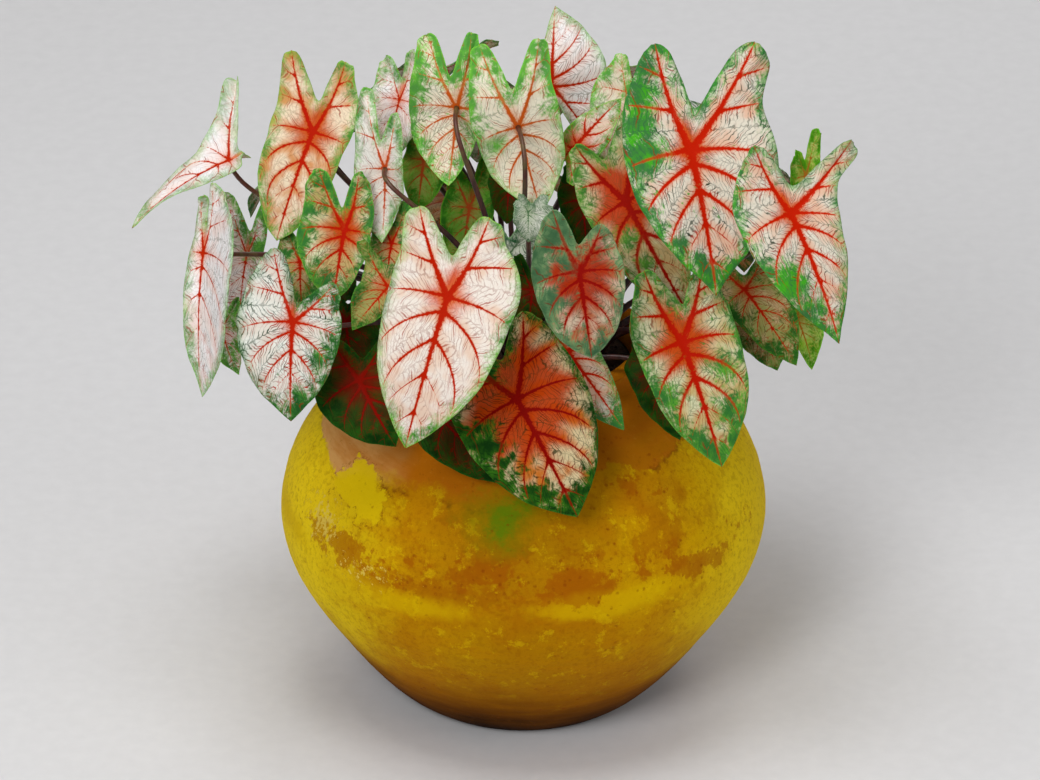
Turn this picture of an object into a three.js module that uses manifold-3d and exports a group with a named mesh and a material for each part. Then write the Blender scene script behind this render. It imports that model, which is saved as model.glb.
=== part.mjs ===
// A caladium in its round clay pot: the pot, the soil, five crowns with their stalks, and the leaf blades.
// Millimetres, +Z up, -Y the front. The origin is the middle of the pot's foot, on the floor.
import * as THREE from "three";
import { mergeVertices } from "three/addons/utils/BufferGeometryUtils.js";
import Module from "manifold-3d";

const wasm = await Module();
wasm.setup();

// ---- Driving dimensions of the pot and soil ----
// Half of the pot's outside as [radius, height], from the foot over the belly and neck to the rim.
const OUTSIDE = [
  [124, 0],
  [139, 12],
  [156, 30],
  [176, 55],
  [197, 85],
  [220, 120],
  [237, 155],
  [244, 190],
  [240, 225],
  [228, 258],
  [208, 288],
  [184, 314],
  [160, 334],
  [138, 348],
  [122, 356],
  [116, 364],
  [116, 372],
  [122, 378],
  [125, 382],
  [122, 386],
];
// The soil lies against the inside from the pot's floor up to SOIL_TOP, inside the neck.
const INSIDE_BELOW_SOIL = [
  [112, 12],
  [133, 22],
  [187, 88],
  [224, 150],
  [234, 190],
  [218, 252],
  [176, 304],
  [128, 340],
  [110, 352],
];
const INSIDE_ABOVE_SOIL = [
  [107, 364],
  [109, 378],
  [113, 386],
];
const SOIL_TOP = 352;
const RIM_TOP = 386;
const RIM_RADIUS = 125;
const DRAIN_RADIUS = 7;
const DRAIN_CIRCLE = 70; // the drain holes' distance from the pot's axis
const DRAIN_COUNT = 3;
const DRAIN_SIDES = 12;
const ROUND_STEPS = 32; // segments round the pot and the soil
const GAP = 0.3; // kept between pieces that touch
const SIDE_GAP = 0.5; // the same gap measured level, where the wall slopes

// ---- Driving dimensions of the plant ----
const TUBER_RADIUS = 24;
const TUBER_DEPTH = 44; // how deep a tuber sits in the soil
const TUBER_DOME = 8; // how far its crown stands out of the soil
const TUBER_SIDES = 12;
const STALK_BASE_RADIUS = 3.6;
const STALK_TOP_RADIUS = 2.2;
const STALK_SIDES = 5;
const STALK_STEPS = 6;
const STALK_RING = 12; // how far from its tuber's middle a stalk leaves it
const STALK_START = 4; // how far inside the tuber's dome a stalk starts
const BLADE_THICKNESS = 0.9;

// ---- Colours and finish ----
const LOOKS = {
  clay: { color: 0xb87e22, roughness: 0.8 },
  soil: { color: 0x2b2018, roughness: 1.0 },
  stalk: { color: 0x3a1f24, roughness: 0.5 },
  cream: { color: 0xe2d3c4, roughness: 0.5 },
  pink: { color: 0xd8917f, roughness: 0.5 },
  red: { color: 0xb84a2a, roughness: 0.5 },
  green: { color: 0x4f7f3a, roughness: 0.5 },
};

// ---- Crowns: where each tuber stands in the pot ----
const CROWNS = {
  front: [8, -62],
  left: [-63, -8],
  right: [62, -6],
  back: [-6, 62],
  middle: [0, 0],
};

// ---- Leaves, one row each ----
// hub: where the stalk meets the blade. tip: the point of the blade. face: where its upper side looks,
// as a compass angle from +X and a height over the horizon in degrees. widths: how far the blade
// reaches to the left and right of its midrib, seen from above with the tip pointing away. lobes: the
// ends of the left and right back lobes, as how far behind the hub and how far out to their own side.
// notch: the foot of the notch between them, as how far behind the hub and how far to the right.
// point: how pointed the tip is, from 0.7 for a blunt one to 1.2 for a long one.
// fold: how steeply the halves rise from the midrib in degrees. arch: how high the midrib bows.
// wave: how far the edges wave up and down.
const LEAF_FIELDS = [
  "name",
  "crown",
  "look",
  "hub",
  "tip",
  "face",
  "widths",
  "lobes",
  "notch",
  "point",
  "fold",
  "arch",
  "wave",
];
const LEAVES = [
  ["leaf_01", "left", "pink", [-289, 0, 583], [-385, -30, 524], [-150, 40], [15, 28], [[19, 5], [52, 83]], [14, 10], 1.1, 20, 8, 8],
  ["leaf_02", "left", "pink", [-207, 30, 598], [-242, -40, 515], [-100, 30], [38, 42], [[80, 7], [74, 47]], [34, 6], 0.72, 6, 8, 4],
  ["leaf_03", "left", "green", [-174, -70, 543], [-185, -110, 485], [-95, 35], [28, 46], [[59, 5], [56, 36]], [22, 7], 0.85, 16, 6, 4],
  ["leaf_04", "front", "cream", [-223, -160, 490], [-225, -205, 405], [-98, 30], [47, 52], [[38, 39], [71, 21]], [19, -3], 1, 6, 8, 4],
  ["leaf_05", "left", "pink", [-313, -60, 512], [-316, -110, 378], [-128, 20], [74, 18], [[70, 12], [56, 5]], [27, 0], 0.9, 30, 6, 6],
  ["leaf_06", "left", "green", [-274, 20, 467], [-282, 0, 393], [-110, 35], [19, 37], [[53, 11], [59, 28]], [23, 1], 1, 18, 5, 4],
  ["leaf_07", "middle", "cream", [-135, -30, 589], [-138, -60, 523], [80, -25], [37, 19], [[79, 25], [56, 9]], [28, -5], 1.0, 25, 5, 4],
  ["leaf_08", "middle", "green", [-65, 0, 641], [-73, -25, 568], [85, -25], [49, 24], [[69, 37], [76, 7]], [31, -9], 0.9, 14, 6, 4],
  ["leaf_09", "back", "pink", [-122, 70, 614], [-130, 50, 557], [-120, 30], [34, 30], [[51, 5], [41, 21]], [21, 4], 1, 18, 5, 3],
  ["leaf_10", "middle", "green", [-98, 45, 560], [-104, 20, 515], [-95, 35], [26, 21], [[47, 5], [36, 18]], [22, 3], 1, 12, 4, 3],
  ["leaf_11", "middle", "cream", [-5, -10, 625], [18, -35, 544], [95, -25], [43, 44], [[89, 15], [79, 43]], [39, 4], 0.9, 10, 8, 4],
  ["leaf_12", "front", "cream", [5, -95, 576], [5, -110, 551], [-90, 30], [32, 19], [[17, 22], [18, 10]], [9, -5], 1, 40, 3, 3],
  ["leaf_13", "back", "red", [28, 112, 607], [32, 160, 673], [-92, 35], [12, 56], [[35, 5], [42, 36]], [18, 8], 1, 12, 6, 4],
  ["leaf_14", "back", "green", [108, 75, 594], [116, 40, 518], [-95, 35], [35, 42], [[50, 25], [62, 5]], [24, -4], 1, 14, 6, 4],
  ["leaf_15", "back", "pink", [49, 20, 584], [97, 45, 629], [-95, 45], [19, 27], [[28, 5], [27, 22]], [13, 1], 1, 14, 5, 3],
  ["leaf_16", "right", "pink", [163, -60, 625], [188, -125, 500], [-80, 30], [81, 65], [[93, 81], [108, 15]], [40, -13], 1.2, 6, 10, 5],
  ["leaf_17", "middle", "red", [101, -40, 558], [163, -90, 458], [-100, 32], [37, 41], [[80, 45], [73, 18]], [47, 0], 0.85, 6, 8, 4],
  ["leaf_18", "right", "pink", [258, -130, 593], [306, -180, 477], [-70, 30], [41, 56], [[44, 84], [73, 8]], [24, -14], 1.2, 10, 10, 5],
  ["leaf_19", "right", "green", [279, 20, 555], [285, 0, 505], [-75, 35], [20, 21], [[46, 17], [26, 5]], [16, -2], 1, 30, 4, 3],
  ["leaf_20", "right", "pink", [219, -20, 449], [271, -50, 380], [-75, 30], [36, 29], [[19, 39], [42, 5]], [12, -9], 1, 10, 6, 4],
  ["leaf_21", "right", "green", [273, 20, 395], [289, 0, 347], [-60, 30], [22, 18], [[26, 18], [31, 5]], [13, -3], 1, 25, 4, 3],
  ["leaf_22", "right", "cream", [155, -140, 456], [194, -190, 345], [-82, 30], [55, 47], [[62, 42], [78, 13]], [35, -13], 0.95, 8, 10, 5],
  ["leaf_23", "front", "green", [129, -95, 398], [154, -135, 344], [-90, 30], [32, 27], [[33, 31], [36, 5]], [18, -8], 1, 12, 6, 4],
  ["leaf_24", "front", "cream", [-72, -225, 553], [-113, -285, 421], [-97, 30], [66, 57], [[84, 17], [76, 52]], [39, 8], 0.95, 6, 12, 4],
  ["leaf_25", "front", "red", [-6, -190, 421], [53, -235, 315], [-86, 30], [66, 66], [[72, 45], [67, 26]], [40, -5], 0.95, 8, 12, 5],
  ["leaf_26", "front", "green", [44, -125, 437], [99, -165, 372], [-85, 30], [25, 30], [[22, 37], [41, 5]], [16, -6], 1, 8, 6, 4],
  ["leaf_27", "front", "red", [-160, -150, 420], [-124, -180, 362], [-100, 28], [35, 46], [[24, 42], [46, 5]], [17, -13], 1, 8, 6, 4],
  ["leaf_28", "front", "green", [-81, -160, 386], [-24, -195, 330], [-92, 28], [28, 33], [[23, 33], [45, 5]], [18, -5], 1, 10, 6, 5],
  ["leaf_29", "front", "red", [54, -185, 559], [66, -222, 485], [-90, 30], [42, 45], [[42, 28], [62, 17]], [26, -3], 0.75, 6, 6, 5],
  ["leaf_30", "middle", "green", [-129, -50, 517], [-134, -75, 477], [-100, 32], [23, 22], [[44, 10], [36, 17]], [20, 2], 1, 14, 4, 3],
  ["leaf_31", "left", "cream", [-131, -124, 509], [-166, -149, 475], [-100, 32], [17, 26], [[38, 5], [20, 49]], [16, 17], 1, 12, 4, 4],
  ["leaf_32", "front", "green", [9, -110, 498], [5, -130, 465], [-90, 32], [21, 23], [[34, 9], [34, 17]], [16, 2], 1, 10, 4, 3],
  ["leaf_33", "middle", "green", [-53, 30, 514], [-62, 0, 454], [-95, 40], [25, 27], [[53, 8], [44, 25]], [24, 1], 1, 14, 5, 4],
  ["leaf_34", "front", "green", [-19, -47, 495], [-23, -51, 449], [-90, 35], [34, 15], [[46, 22], [38, 9]], [24, -3], 1, 14, 5, 4],
  ["leaf_35", "left", "green", [-174, -80, 446], [-164, -105, 401], [-105, 35], [37, 27], [[32, 31], [34, 10]], [17, -5], 1, 14, 5, 4],
  ["leaf_36", "back", "pink", [0, 190, 560], [6, 290, 455], [88, 35], [62, 58], [[84, 36], [88, 38]], [36, 0], 1, 8, 10, 4],
  ["leaf_37", "back", "cream", [104, 175, 582], [150, 258, 475], [58, 35], [60, 56], [[82, 36], [78, 34]], [34, 0], 1, 8, 10, 4],
  ["leaf_38", "back", "pink", [-92, 178, 588], [-140, 262, 482], [118, 35], [56, 58], [[80, 34], [82, 36]], [34, 0], 1, 8, 10, 4],
  ["leaf_39", "right", "cream", [196, 112, 552], [270, 160, 448], [28, 35], [58, 56], [[78, 36], [80, 36]], [34, 0], 1, 8, 10, 4],
  ["leaf_40", "left", "pink", [-200, 110, 540], [-276, 150, 440], [156, 35], [54, 56], [[76, 34], [80, 36]], [34, 0], 1, 8, 10, 4],
  ["leaf_41", "back", "green", [62, 205, 446], [92, 300, 350], [74, 32], [56, 52], [[70, 32], [72, 34]], [30, 0], 1, 8, 8, 4],
  ["leaf_42", "back", "red", [-62, 206, 438], [-90, 296, 342], [108, 32], [46, 52], [[66, 30], [64, 30]], [28, 0], 1, 8, 8, 4],
  ["leaf_43", "right", "pink", [238, 66, 458], [320, 88, 368], [12, 32], [50, 52], [[66, 32], [68, 32]], [28, 0], 1, 10, 8, 4],
  ["leaf_44", "left", "cream", [-240, 100, 408], [-312, 142, 320], [150, 32], [44, 46], [[56, 28], [58, 30]], [24, 0], 1, 10, 8, 4],
  ["leaf_45", "back", "red", [168, 162, 430], [228, 226, 336], [42, 32], [50, 50], [[64, 30], [66, 32]], [28, 0], 1, 10, 8, 4],
  ["leaf_46", "back", "green", [-156, 172, 420], [-206, 238, 328], [130, 32], [46, 44], [[62, 30], [60, 28]], [26, 0], 1, 10, 8, 4],
  ["leaf_47", "left", "green", [-196, 44, 402], [-250, 46, 326], [-172, 32], [36, 36], [[46, 22], [46, 22]], [20, 0], 1, 10, 6, 4],
  ["leaf_48", "back", "pink", [-34, 60, 600], [-46, 110, 524], [100, 40], [36, 36], [[46, 22], [48, 24]], [20, 0], 1, 8, 6, 4],
  ["leaf_49", "left", "green", [-297, -50, 423], [-281, -64, 377], [-112, 30], [16, 17], [[25, 25], [34, 5]], [12, -7], 1, 14, 5, 4],
  ["leaf_50", "right", "pink", [231, -2, 407], [253, -28, 362], [-78, 30], [29, 28], [[25, 32], [50, 5]], [16, -8], 1, 10, 6, 4],
  ["leaf_51", "middle", "green", [59, 26, 525], [64, 2, 471], [-92, 35], [25, 24], [[35, 17], [37, 11]], [16, -2], 1, 14, 5, 4],
  ["leaf_52", "middle", "green", [-14, 20, 548], [-16, 2, 511], [-90, 38], [22, 20], [[32, 12], [31, 13]], [14, 0], 1, 14, 5, 4],
  ["leaf_53", "left", "green", [-219, -40, 491], [-216, -60, 439], [-105, 35], [24, 22], [[29, 19], [36, 14]], [15, -2], 1, 14, 5, 4],
].map((row) => Object.fromEntries(row.map((value, i) => [LEAF_FIELDS[i], value])));

// The stretches of a blade's outline on one side. The front runs from the tip to the hub's level, as
// shares of the length and the width. SHOULDER is where the side then turns in, as a share of the way
// back to the lobe's end and of the width left to lose. The lobe's end is round: LOBE_ROUND holds
// points about its end, as shares of its radius back along the lobe and out to its own side.
const FRONT = [
  [1, 0],
  [0.9, 0.22],
  [0.72, 0.55],
  [0.46, 0.86],
  [0.15, 1],
];
const SHOULDER = [0.4, 0.93];
const WIDE_SHOULDER = [0.25, 0.65]; // the same where the lobe's end reaches wider than the blade
const LOBE_RADIUS = 0.27; // the lobe's end radius as a share of the blade's width on that side
const LOBE_ROOM = 0.9; // the radius is at most this share of the way from the notch's line
const LOBE_TURN = 0.6; // how far the lobe turns from straight back towards its end's own direction
const LOBE_ROUND = [
  [0.85, 0.95],
  [0.2, 0.55],
  [0, 0],
  [0.3, -0.55],
];
const LOBE_SPARE = 0.12; // how much of the width left to lose stays on the lobe's outer side
const INNER_START = [0.75, -0.75]; // where the inner edge leaves the round end, as the points above
const INNER_MIDDLE = 0.55; // how far from the notch the inner edge's middle point is
const BLADE_LEVELS = [0.5, 1]; // rings of points from the hub out, as shares of the outline
const FOLD_ROUNDING = 6; // how far from the midrib the fold is rounded off
const WAVES_PER_SIDE = 2.4;
const WAVE_TURN = 2.4; // each next leaf's waves start this many radians on
const ARCH_SLOPE = 4;

// ---- Small helpers ----
const radians = THREE.MathUtils.degToRad;
const group = new THREE.Group();
group.name = "caladium_in_pot";

function add(name, geometry, look) {
  const material = new THREE.MeshStandardMaterial({ metalness: 0, ...LOOKS[look] });
  const mesh = new THREE.Mesh(geometry, material);
  mesh.name = name;
  group.add(mesh);
}

function solidOf(geometry) {
  geometry.deleteAttribute("normal");
  geometry.deleteAttribute("uv");
  const merged = mergeVertices(geometry, 1e-4);
  const mesh = new wasm.Mesh({
    numProp: 3,
    vertProperties: new Float32Array(merged.attributes.position.array),
    triVerts: new Uint32Array(merged.index.array),
  });
  return new wasm.Manifold(mesh);
}

function geometryOf(solid) {
  const mesh = solid.getMesh();
  return geometryFrom(mesh.vertProperties, mesh.triVerts);
}

function geometryFrom(positions, triangles) {
  const geometry = new THREE.BufferGeometry();
  geometry.setAttribute("position", new THREE.BufferAttribute(new Float32Array(positions), 3));
  geometry.setIndex(new THREE.BufferAttribute(new Uint32Array(triangles), 1));
  return geometry;
}

// A body turned about the upright axis from [radius, height] points that run from the axis to the axis.
function turned(points, steps) {
  const profile = points.map(([radius, height]) => new THREE.Vector2(radius, height));
  return new THREE.LatheGeometry(profile, steps).rotateX(Math.PI / 2);
}

function uprightRod(radius, bottom, top, sides, x, y) {
  const rod = new THREE.CylinderGeometry(radius, radius, top - bottom, sides).rotateX(Math.PI / 2);
  return rod.translate(x, y, (top + bottom) / 2);
}

// ---- Pot and soil ----
function buildPot() {
  const inside = [...INSIDE_BELOW_SOIL, ...INSIDE_ABOVE_SOIL].reverse();
  const floorInside = INSIDE_BELOW_SOIL[0][1];
  let pot = solidOf(turned([[0, 0], ...OUTSIDE, ...inside, [0, floorInside]], ROUND_STEPS));
  for (let i = 0; i < DRAIN_COUNT; i += 1) {
    const angle = (i / DRAIN_COUNT) * 2 * Math.PI;
    const x = DRAIN_CIRCLE * Math.cos(angle);
    const y = DRAIN_CIRCLE * Math.sin(angle);
    pot = pot.subtract(solidOf(uprightRod(DRAIN_RADIUS, -1, floorInside + 1, DRAIN_SIDES, x, y)));
  }
  add("pot", geometryOf(pot), "clay");
}

function buildSoil() {
  const side = INSIDE_BELOW_SOIL.map(([radius, height], i) => [radius - SIDE_GAP, i < 2 ? height + GAP : height]);
  const floor = side[0][1];
  let soil = solidOf(turned([[0, floor], ...side, [0, SOIL_TOP]], ROUND_STEPS));
  for (const [x, y] of Object.values(CROWNS)) {
    const bottom = SOIL_TOP - TUBER_DEPTH - GAP;
    soil = soil.subtract(solidOf(uprightRod(TUBER_RADIUS + SIDE_GAP, bottom, SOIL_TOP + 1, TUBER_SIDES, x, y)));
  }
  add("soil", geometryOf(soil), "soil");
}

// ---- Blades ----
// A leaf's own directions: along its midrib to the tip, to its right, and out of its upper side.
function leafFrame(leaf) {
  const hub = new THREE.Vector3(...leaf.hub);
  const along = new THREE.Vector3(...leaf.tip).sub(hub);
  const length = along.length();
  along.normalize();
  const compass = radians(leaf.face[0]);
  const height = radians(leaf.face[1]);
  const up = new THREE.Vector3(
    Math.cos(compass) * Math.cos(height),
    Math.sin(compass) * Math.cos(height),
    Math.sin(height),
  );
  up.addScaledVector(along, -up.dot(along)).normalize();
  const right = new THREE.Vector3().crossVectors(along, up);
  return { hub, length, along, right, up };
}

// One side of the outline from the tip to the notch, as [along, across] in millimetres from the hub.
function bladeSide(leaf, length, sign) {
  const width = leaf.widths[sign > 0 ? 1 : 0];
  const [back, out] = leaf.lobes[sign > 0 ? 1 : 0];
  const [notchBack, notchRight] = leaf.notch;
  const notch = [-notchBack, sign * notchRight];
  const front = FRONT.map(([along, across]) => [along * length, across ** leaf.point * width]);
  const [shoulderBack, shoulderLeft] = out > width ? WIDE_SHOULDER : SHOULDER;
  const shoulder = [-shoulderBack * back, out + shoulderLeft * (width - out)];
  const turn = Math.PI + LOBE_TURN * (Math.atan2(out, -back) - Math.PI);
  const radius = Math.min(LOBE_RADIUS * width, LOBE_ROOM * (out - notch[1]));
  const spare = LOBE_SPARE * Math.max(width - out, 0);
  const aboutLobe = ([behind, aside]) => {
    const outward = aside * radius + (aside > 0 ? aside * spare : 0);
    return [
      -back - behind * radius * Math.cos(turn) + outward * Math.sin(turn),
      out - behind * radius * Math.sin(turn) - outward * Math.cos(turn),
    ];
  };
  const start = aboutLobe(INNER_START);
  const middle = notch.map((value, i) => value + INNER_MIDDLE * (start[i] - value));
  const side = [...front, shoulder, ...LOBE_ROUND.map(aboutLobe), middle, notch];
  return side.map(([along, across]) => [along, sign * across]);
}

// The whole outline, from the tip round the right side to the notch and back by the left side. Each
// point also holds how far round its side it is, from 0 at the tip to 1 at the notch.
function bladeOutline(leaf, length) {
  const right = bladeSide(leaf, length, 1);
  const left = bladeSide(leaf, length, -1);
  const last = right.length - 1;
  const withShare = ([along, across], i) => [along, across, i / last];
  return [...right.map(withShare), ...left.map(withShare).slice(1, last).reverse()];
}

// How the midrib bows up between the hub and the tip, and levels out again in the lobes.
function archHeight(leaf, share) {
  return ARCH_SLOPE * leaf.arch * share * (1 - Math.abs(share));
}

// A point of the blade's middle layer, in the leaf's own directions. level is 0 at the hub, 1 at the edge.
function bladePoint(leaf, length, phase, [along, across, share], level) {
  const u = along * level;
  const v = across * level;
  const fold = radians(leaf.fold);
  const side = across < 0 ? -1 : 1;
  const rise = Math.hypot(v, FOLD_ROUNDING) - FOLD_ROUNDING;
  const edge = Math.sin(Math.PI * share) * level * level;
  const ripple = Math.sin(2 * Math.PI * WAVES_PER_SIDE * share + phase + side);
  const w = archHeight(leaf, u / length) + rise * Math.sin(fold) + leaf.wave * edge * ripple;
  return [u, v * Math.cos(fold), w];
}

function place(frame, [u, v, w]) {
  return frame.hub
    .clone()
    .addScaledVector(frame.along, u)
    .addScaledVector(frame.right, v)
    .addScaledVector(frame.up, w);
}

function buildBlade(leaf, index) {
  const frame = leafFrame(leaf);
  const outline = bladeOutline(leaf, frame.length);
  const phase = index * WAVE_TURN;
  const round = outline.length;
  const half = BLADE_THICKNESS / 2 / Math.cos(radians(leaf.fold));
  const positions = [];
  const triangles = [];
  for (const lift of [half, -half]) {
    positions.push(...place(frame, [0, 0, lift]).toArray());
    for (const level of BLADE_LEVELS) {
      for (const point of outline) {
        const [u, v, w] = bladePoint(leaf, frame.length, phase, point, level);
        positions.push(...place(frame, [u, v, w + lift]).toArray());
      }
    }
  }
  const layer = 1 + BLADE_LEVELS.length * round;
  const both = (a, b, c) => {
    triangles.push(a, b, c, a + layer, c + layer, b + layer);
  };
  for (let i = 0; i < round; i += 1) {
    const next = (i + 1) % round;
    both(0, 1 + next, 1 + i);
    for (let ring = 1; ring < BLADE_LEVELS.length; ring += 1) {
      const inner = 1 + (ring - 1) * round;
      const outer = inner + round;
      both(inner + i, inner + next, outer + i);
      both(inner + next, outer + next, outer + i);
    }
    const edge = 1 + (BLADE_LEVELS.length - 1) * round;
    triangles.push(edge + i, edge + next, edge + i + layer);
    triangles.push(edge + next, edge + next + layer, edge + i + layer);
  }
  add(leaf.name, geometryFrom(positions, triangles), leaf.look);
}

// ---- Crowns: a tuber with the stalks of its leaves ----
const STALK_RISE = 0.55; // a stalk first climbs, by this share of its span
const STALK_REACH = 0.3; // and comes up to its blade from below over this share of its span
const RIM_CLEARANCE = 22; // how far above the rim a stalk's last bend stays where it is over the pot
const LEAST_LIFT = 0.35; // how steeply a stalk comes up to its blade at least, as a sine

// A stalk's last bend: straight below the blade, but lifted clear of the pot's rim, and then moved away
// from the blade's underside until it still comes up steeply enough.
function lastBend(hub, normal, distance) {
  const bend = hub.clone().addScaledVector(normal, -distance);
  if (Math.hypot(bend.x, bend.y) < RIM_RADIUS + distance) {
    bend.z = Math.max(bend.z, RIM_TOP + RIM_CLEARANCE);
  }
  const away = hub.clone().sub(bend);
  const missing = LEAST_LIFT * away.length() - away.dot(normal);
  return missing > 0 ? bend.addScaledVector(normal, -missing) : bend;
}

function stalkCurve(leaf, [x, y]) {
  const frame = leafFrame(leaf);
  const lean = Math.atan2(leaf.hub[1] - y, leaf.hub[0] - x);
  const start = new THREE.Vector3(
    x + STALK_RING * Math.cos(lean),
    y + STALK_RING * Math.sin(lean),
    SOIL_TOP - STALK_START,
  );
  const bow = (ARCH_SLOPE * leaf.arch) / frame.length;
  const normal = frame.up.clone().addScaledVector(frame.along, -bow).normalize();
  const span = frame.hub.distanceTo(start);
  const rise = start.clone().add(new THREE.Vector3(0, 0, STALK_RISE * span));
  const bend = lastBend(frame.hub, normal, STALK_REACH * span);
  const arrival = frame.hub.clone().sub(bend).normalize();
  const sideways = new THREE.Vector3().crossVectors(arrival, normal).length();
  const clear = BLADE_THICKNESS / 2 + SIDE_GAP + STALK_TOP_RADIUS * sideways;
  const end = frame.hub.clone().addScaledVector(normal, -clear);
  return new THREE.CubicBezierCurve3(start, rise, bend, end);
}

function buildStalk(leaf, base) {
  const curve = stalkCurve(leaf, base);
  const frames = curve.computeFrenetFrames(STALK_STEPS);
  const positions = [];
  const triangles = [];
  for (let step = 0; step <= STALK_STEPS; step += 1) {
    const share = step / STALK_STEPS;
    const middle = curve.getPointAt(share);
    const radius = STALK_BASE_RADIUS + (STALK_TOP_RADIUS - STALK_BASE_RADIUS) * share;
    for (let i = 0; i < STALK_SIDES; i += 1) {
      const angle = (i / STALK_SIDES) * 2 * Math.PI;
      const point = middle
        .clone()
        .addScaledVector(frames.normals[step], radius * Math.cos(angle))
        .addScaledVector(frames.binormals[step], radius * Math.sin(angle));
      positions.push(...point.toArray());
    }
  }
  for (let step = 0; step < STALK_STEPS; step += 1) {
    for (let i = 0; i < STALK_SIDES; i += 1) {
      const a = step * STALK_SIDES + i;
      const b = step * STALK_SIDES + ((i + 1) % STALK_SIDES);
      triangles.push(a, b, a + STALK_SIDES, b, b + STALK_SIDES, a + STALK_SIDES);
    }
  }
  const top = STALK_STEPS * STALK_SIDES;
  for (let i = 1; i < STALK_SIDES - 1; i += 1) {
    triangles.push(0, i + 1, i, top, top + i, top + i + 1);
  }
  return geometryFrom(positions, triangles);
}

function buildCrown(name, [x, y]) {
  const dome = SOIL_TOP + TUBER_DOME;
  const bottom = SOIL_TOP - TUBER_DEPTH;
  const profile = [
    [0, bottom],
    [TUBER_RADIUS * 0.6, bottom],
    [TUBER_RADIUS, bottom + TUBER_RADIUS * 0.5],
    [TUBER_RADIUS, SOIL_TOP - TUBER_DOME * 0.5],
    [TUBER_RADIUS * 0.75, dome - TUBER_DOME * 0.3],
    [0, dome],
  ];
  let crown = solidOf(turned(profile, TUBER_SIDES).translate(x, y, 0));
  for (const leaf of LEAVES.filter((one) => one.crown === name)) {
    crown = crown.add(solidOf(buildStalk(leaf, [x, y])));
  }
  add(`crown_${name}`, geometryOf(crown), "stalk");
}

buildPot();
buildSoil();
for (const [name, spot] of Object.entries(CROWNS)) {
  buildCrown(name, spot);
}
LEAVES.forEach(buildBlade);

export default group;
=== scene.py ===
"""A caladium in its round clay pot: the fine meshes, their materials, the light and the camera.

Metres, +Z up, -Y the front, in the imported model's own frame. The tables of the pot and of the
leaves are in millimetres, as the solids have them, and are turned into metres when a mesh is made.
"""
import functools
import math

import bpy
import numpy as np
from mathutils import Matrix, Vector


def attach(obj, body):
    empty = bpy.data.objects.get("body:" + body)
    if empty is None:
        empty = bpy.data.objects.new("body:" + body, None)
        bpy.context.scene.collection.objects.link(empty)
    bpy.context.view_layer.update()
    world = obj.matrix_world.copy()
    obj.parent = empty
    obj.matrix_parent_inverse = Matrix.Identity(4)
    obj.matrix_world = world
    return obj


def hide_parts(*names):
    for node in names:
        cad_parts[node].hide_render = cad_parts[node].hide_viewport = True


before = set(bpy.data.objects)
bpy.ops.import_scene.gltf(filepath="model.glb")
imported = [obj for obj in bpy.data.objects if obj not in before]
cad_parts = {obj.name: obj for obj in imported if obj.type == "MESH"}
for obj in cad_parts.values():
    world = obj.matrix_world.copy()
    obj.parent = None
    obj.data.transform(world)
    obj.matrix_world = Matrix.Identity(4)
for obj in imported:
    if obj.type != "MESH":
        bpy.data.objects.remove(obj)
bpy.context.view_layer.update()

MM = 0.001

# ---- The pot, as its solid has it: [radius, height] from the foot over the belly to the rim ----
# OUTSIDE up to 348 mm is a scratch program's fit to the outline in the photograph, rounded and smoothed
# by hand. The neck, the lip and INSIDE were chosen one by one.
OUTSIDE = [
    [124, 0], [139, 12], [156, 30], [176, 55], [197, 85], [220, 120], [237, 155], [244, 190],
    [240, 225], [228, 258], [208, 288], [184, 314], [160, 334], [138, 348], [122, 356], [116, 364],
    [116, 372], [122, 378], [125, 382], [122, 386],
]
INSIDE = [
    [113, 386], [109, 378], [107, 364], [110, 352], [128, 340], [176, 304], [218, 252], [234, 190],
    [224, 150], [187, 88], [133, 22], [112, 12],
]
SOIL_TOP = 352
RIM_TOP = 386
RIM_RADIUS = 125
DRAIN_RADIUS = 7
DRAIN_CIRCLE = 70
DRAIN_COUNT = 3

# ---- The plant, as its solids have it ----
CROWNS = {"front": [8, -62], "left": [-63, -8], "right": [62, -6], "back": [-6, 62], "middle": [0, 0]}
TUBER_RADIUS = 24
TUBER_DEPTH = 44
TUBER_DOME = 8
STALK_BASE_RADIUS = 3.6
STALK_TOP_RADIUS = 2.2
STALK_RING = 12
STALK_START = 4
STALK_RISE = 0.55
STALK_REACH = 0.3
RIM_CLEARANCE = 22
LEAST_LIFT = 0.35
FOLD_ROUNDING = 6
WAVES_PER_SIDE = 2.4
WAVE_TURN = 2.4
ARCH_SLOPE = 4

# The stretches of a blade's outline on one side, as shares of its length and width (FRONT), of the
# way back and of the width left to lose (SHOULDER), and of the round end's radius (the rest).
FRONT = [[1, 0], [0.9, 0.22], [0.72, 0.55], [0.46, 0.86], [0.15, 1]]
SHOULDER = [0.4, 0.93]
WIDE_SHOULDER = [0.25, 0.65]
LOBE_RADIUS = 0.27
LOBE_ROOM = 0.9
LOBE_TURN = 0.6
LOBE_ROUND = [[0.85, 0.95], [0.2, 0.55], [0, 0], [0.3, -0.55]]
LOBE_SPARE = 0.12
INNER_START = [0.75, -0.75]
INNER_MIDDLE = 0.55
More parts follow.
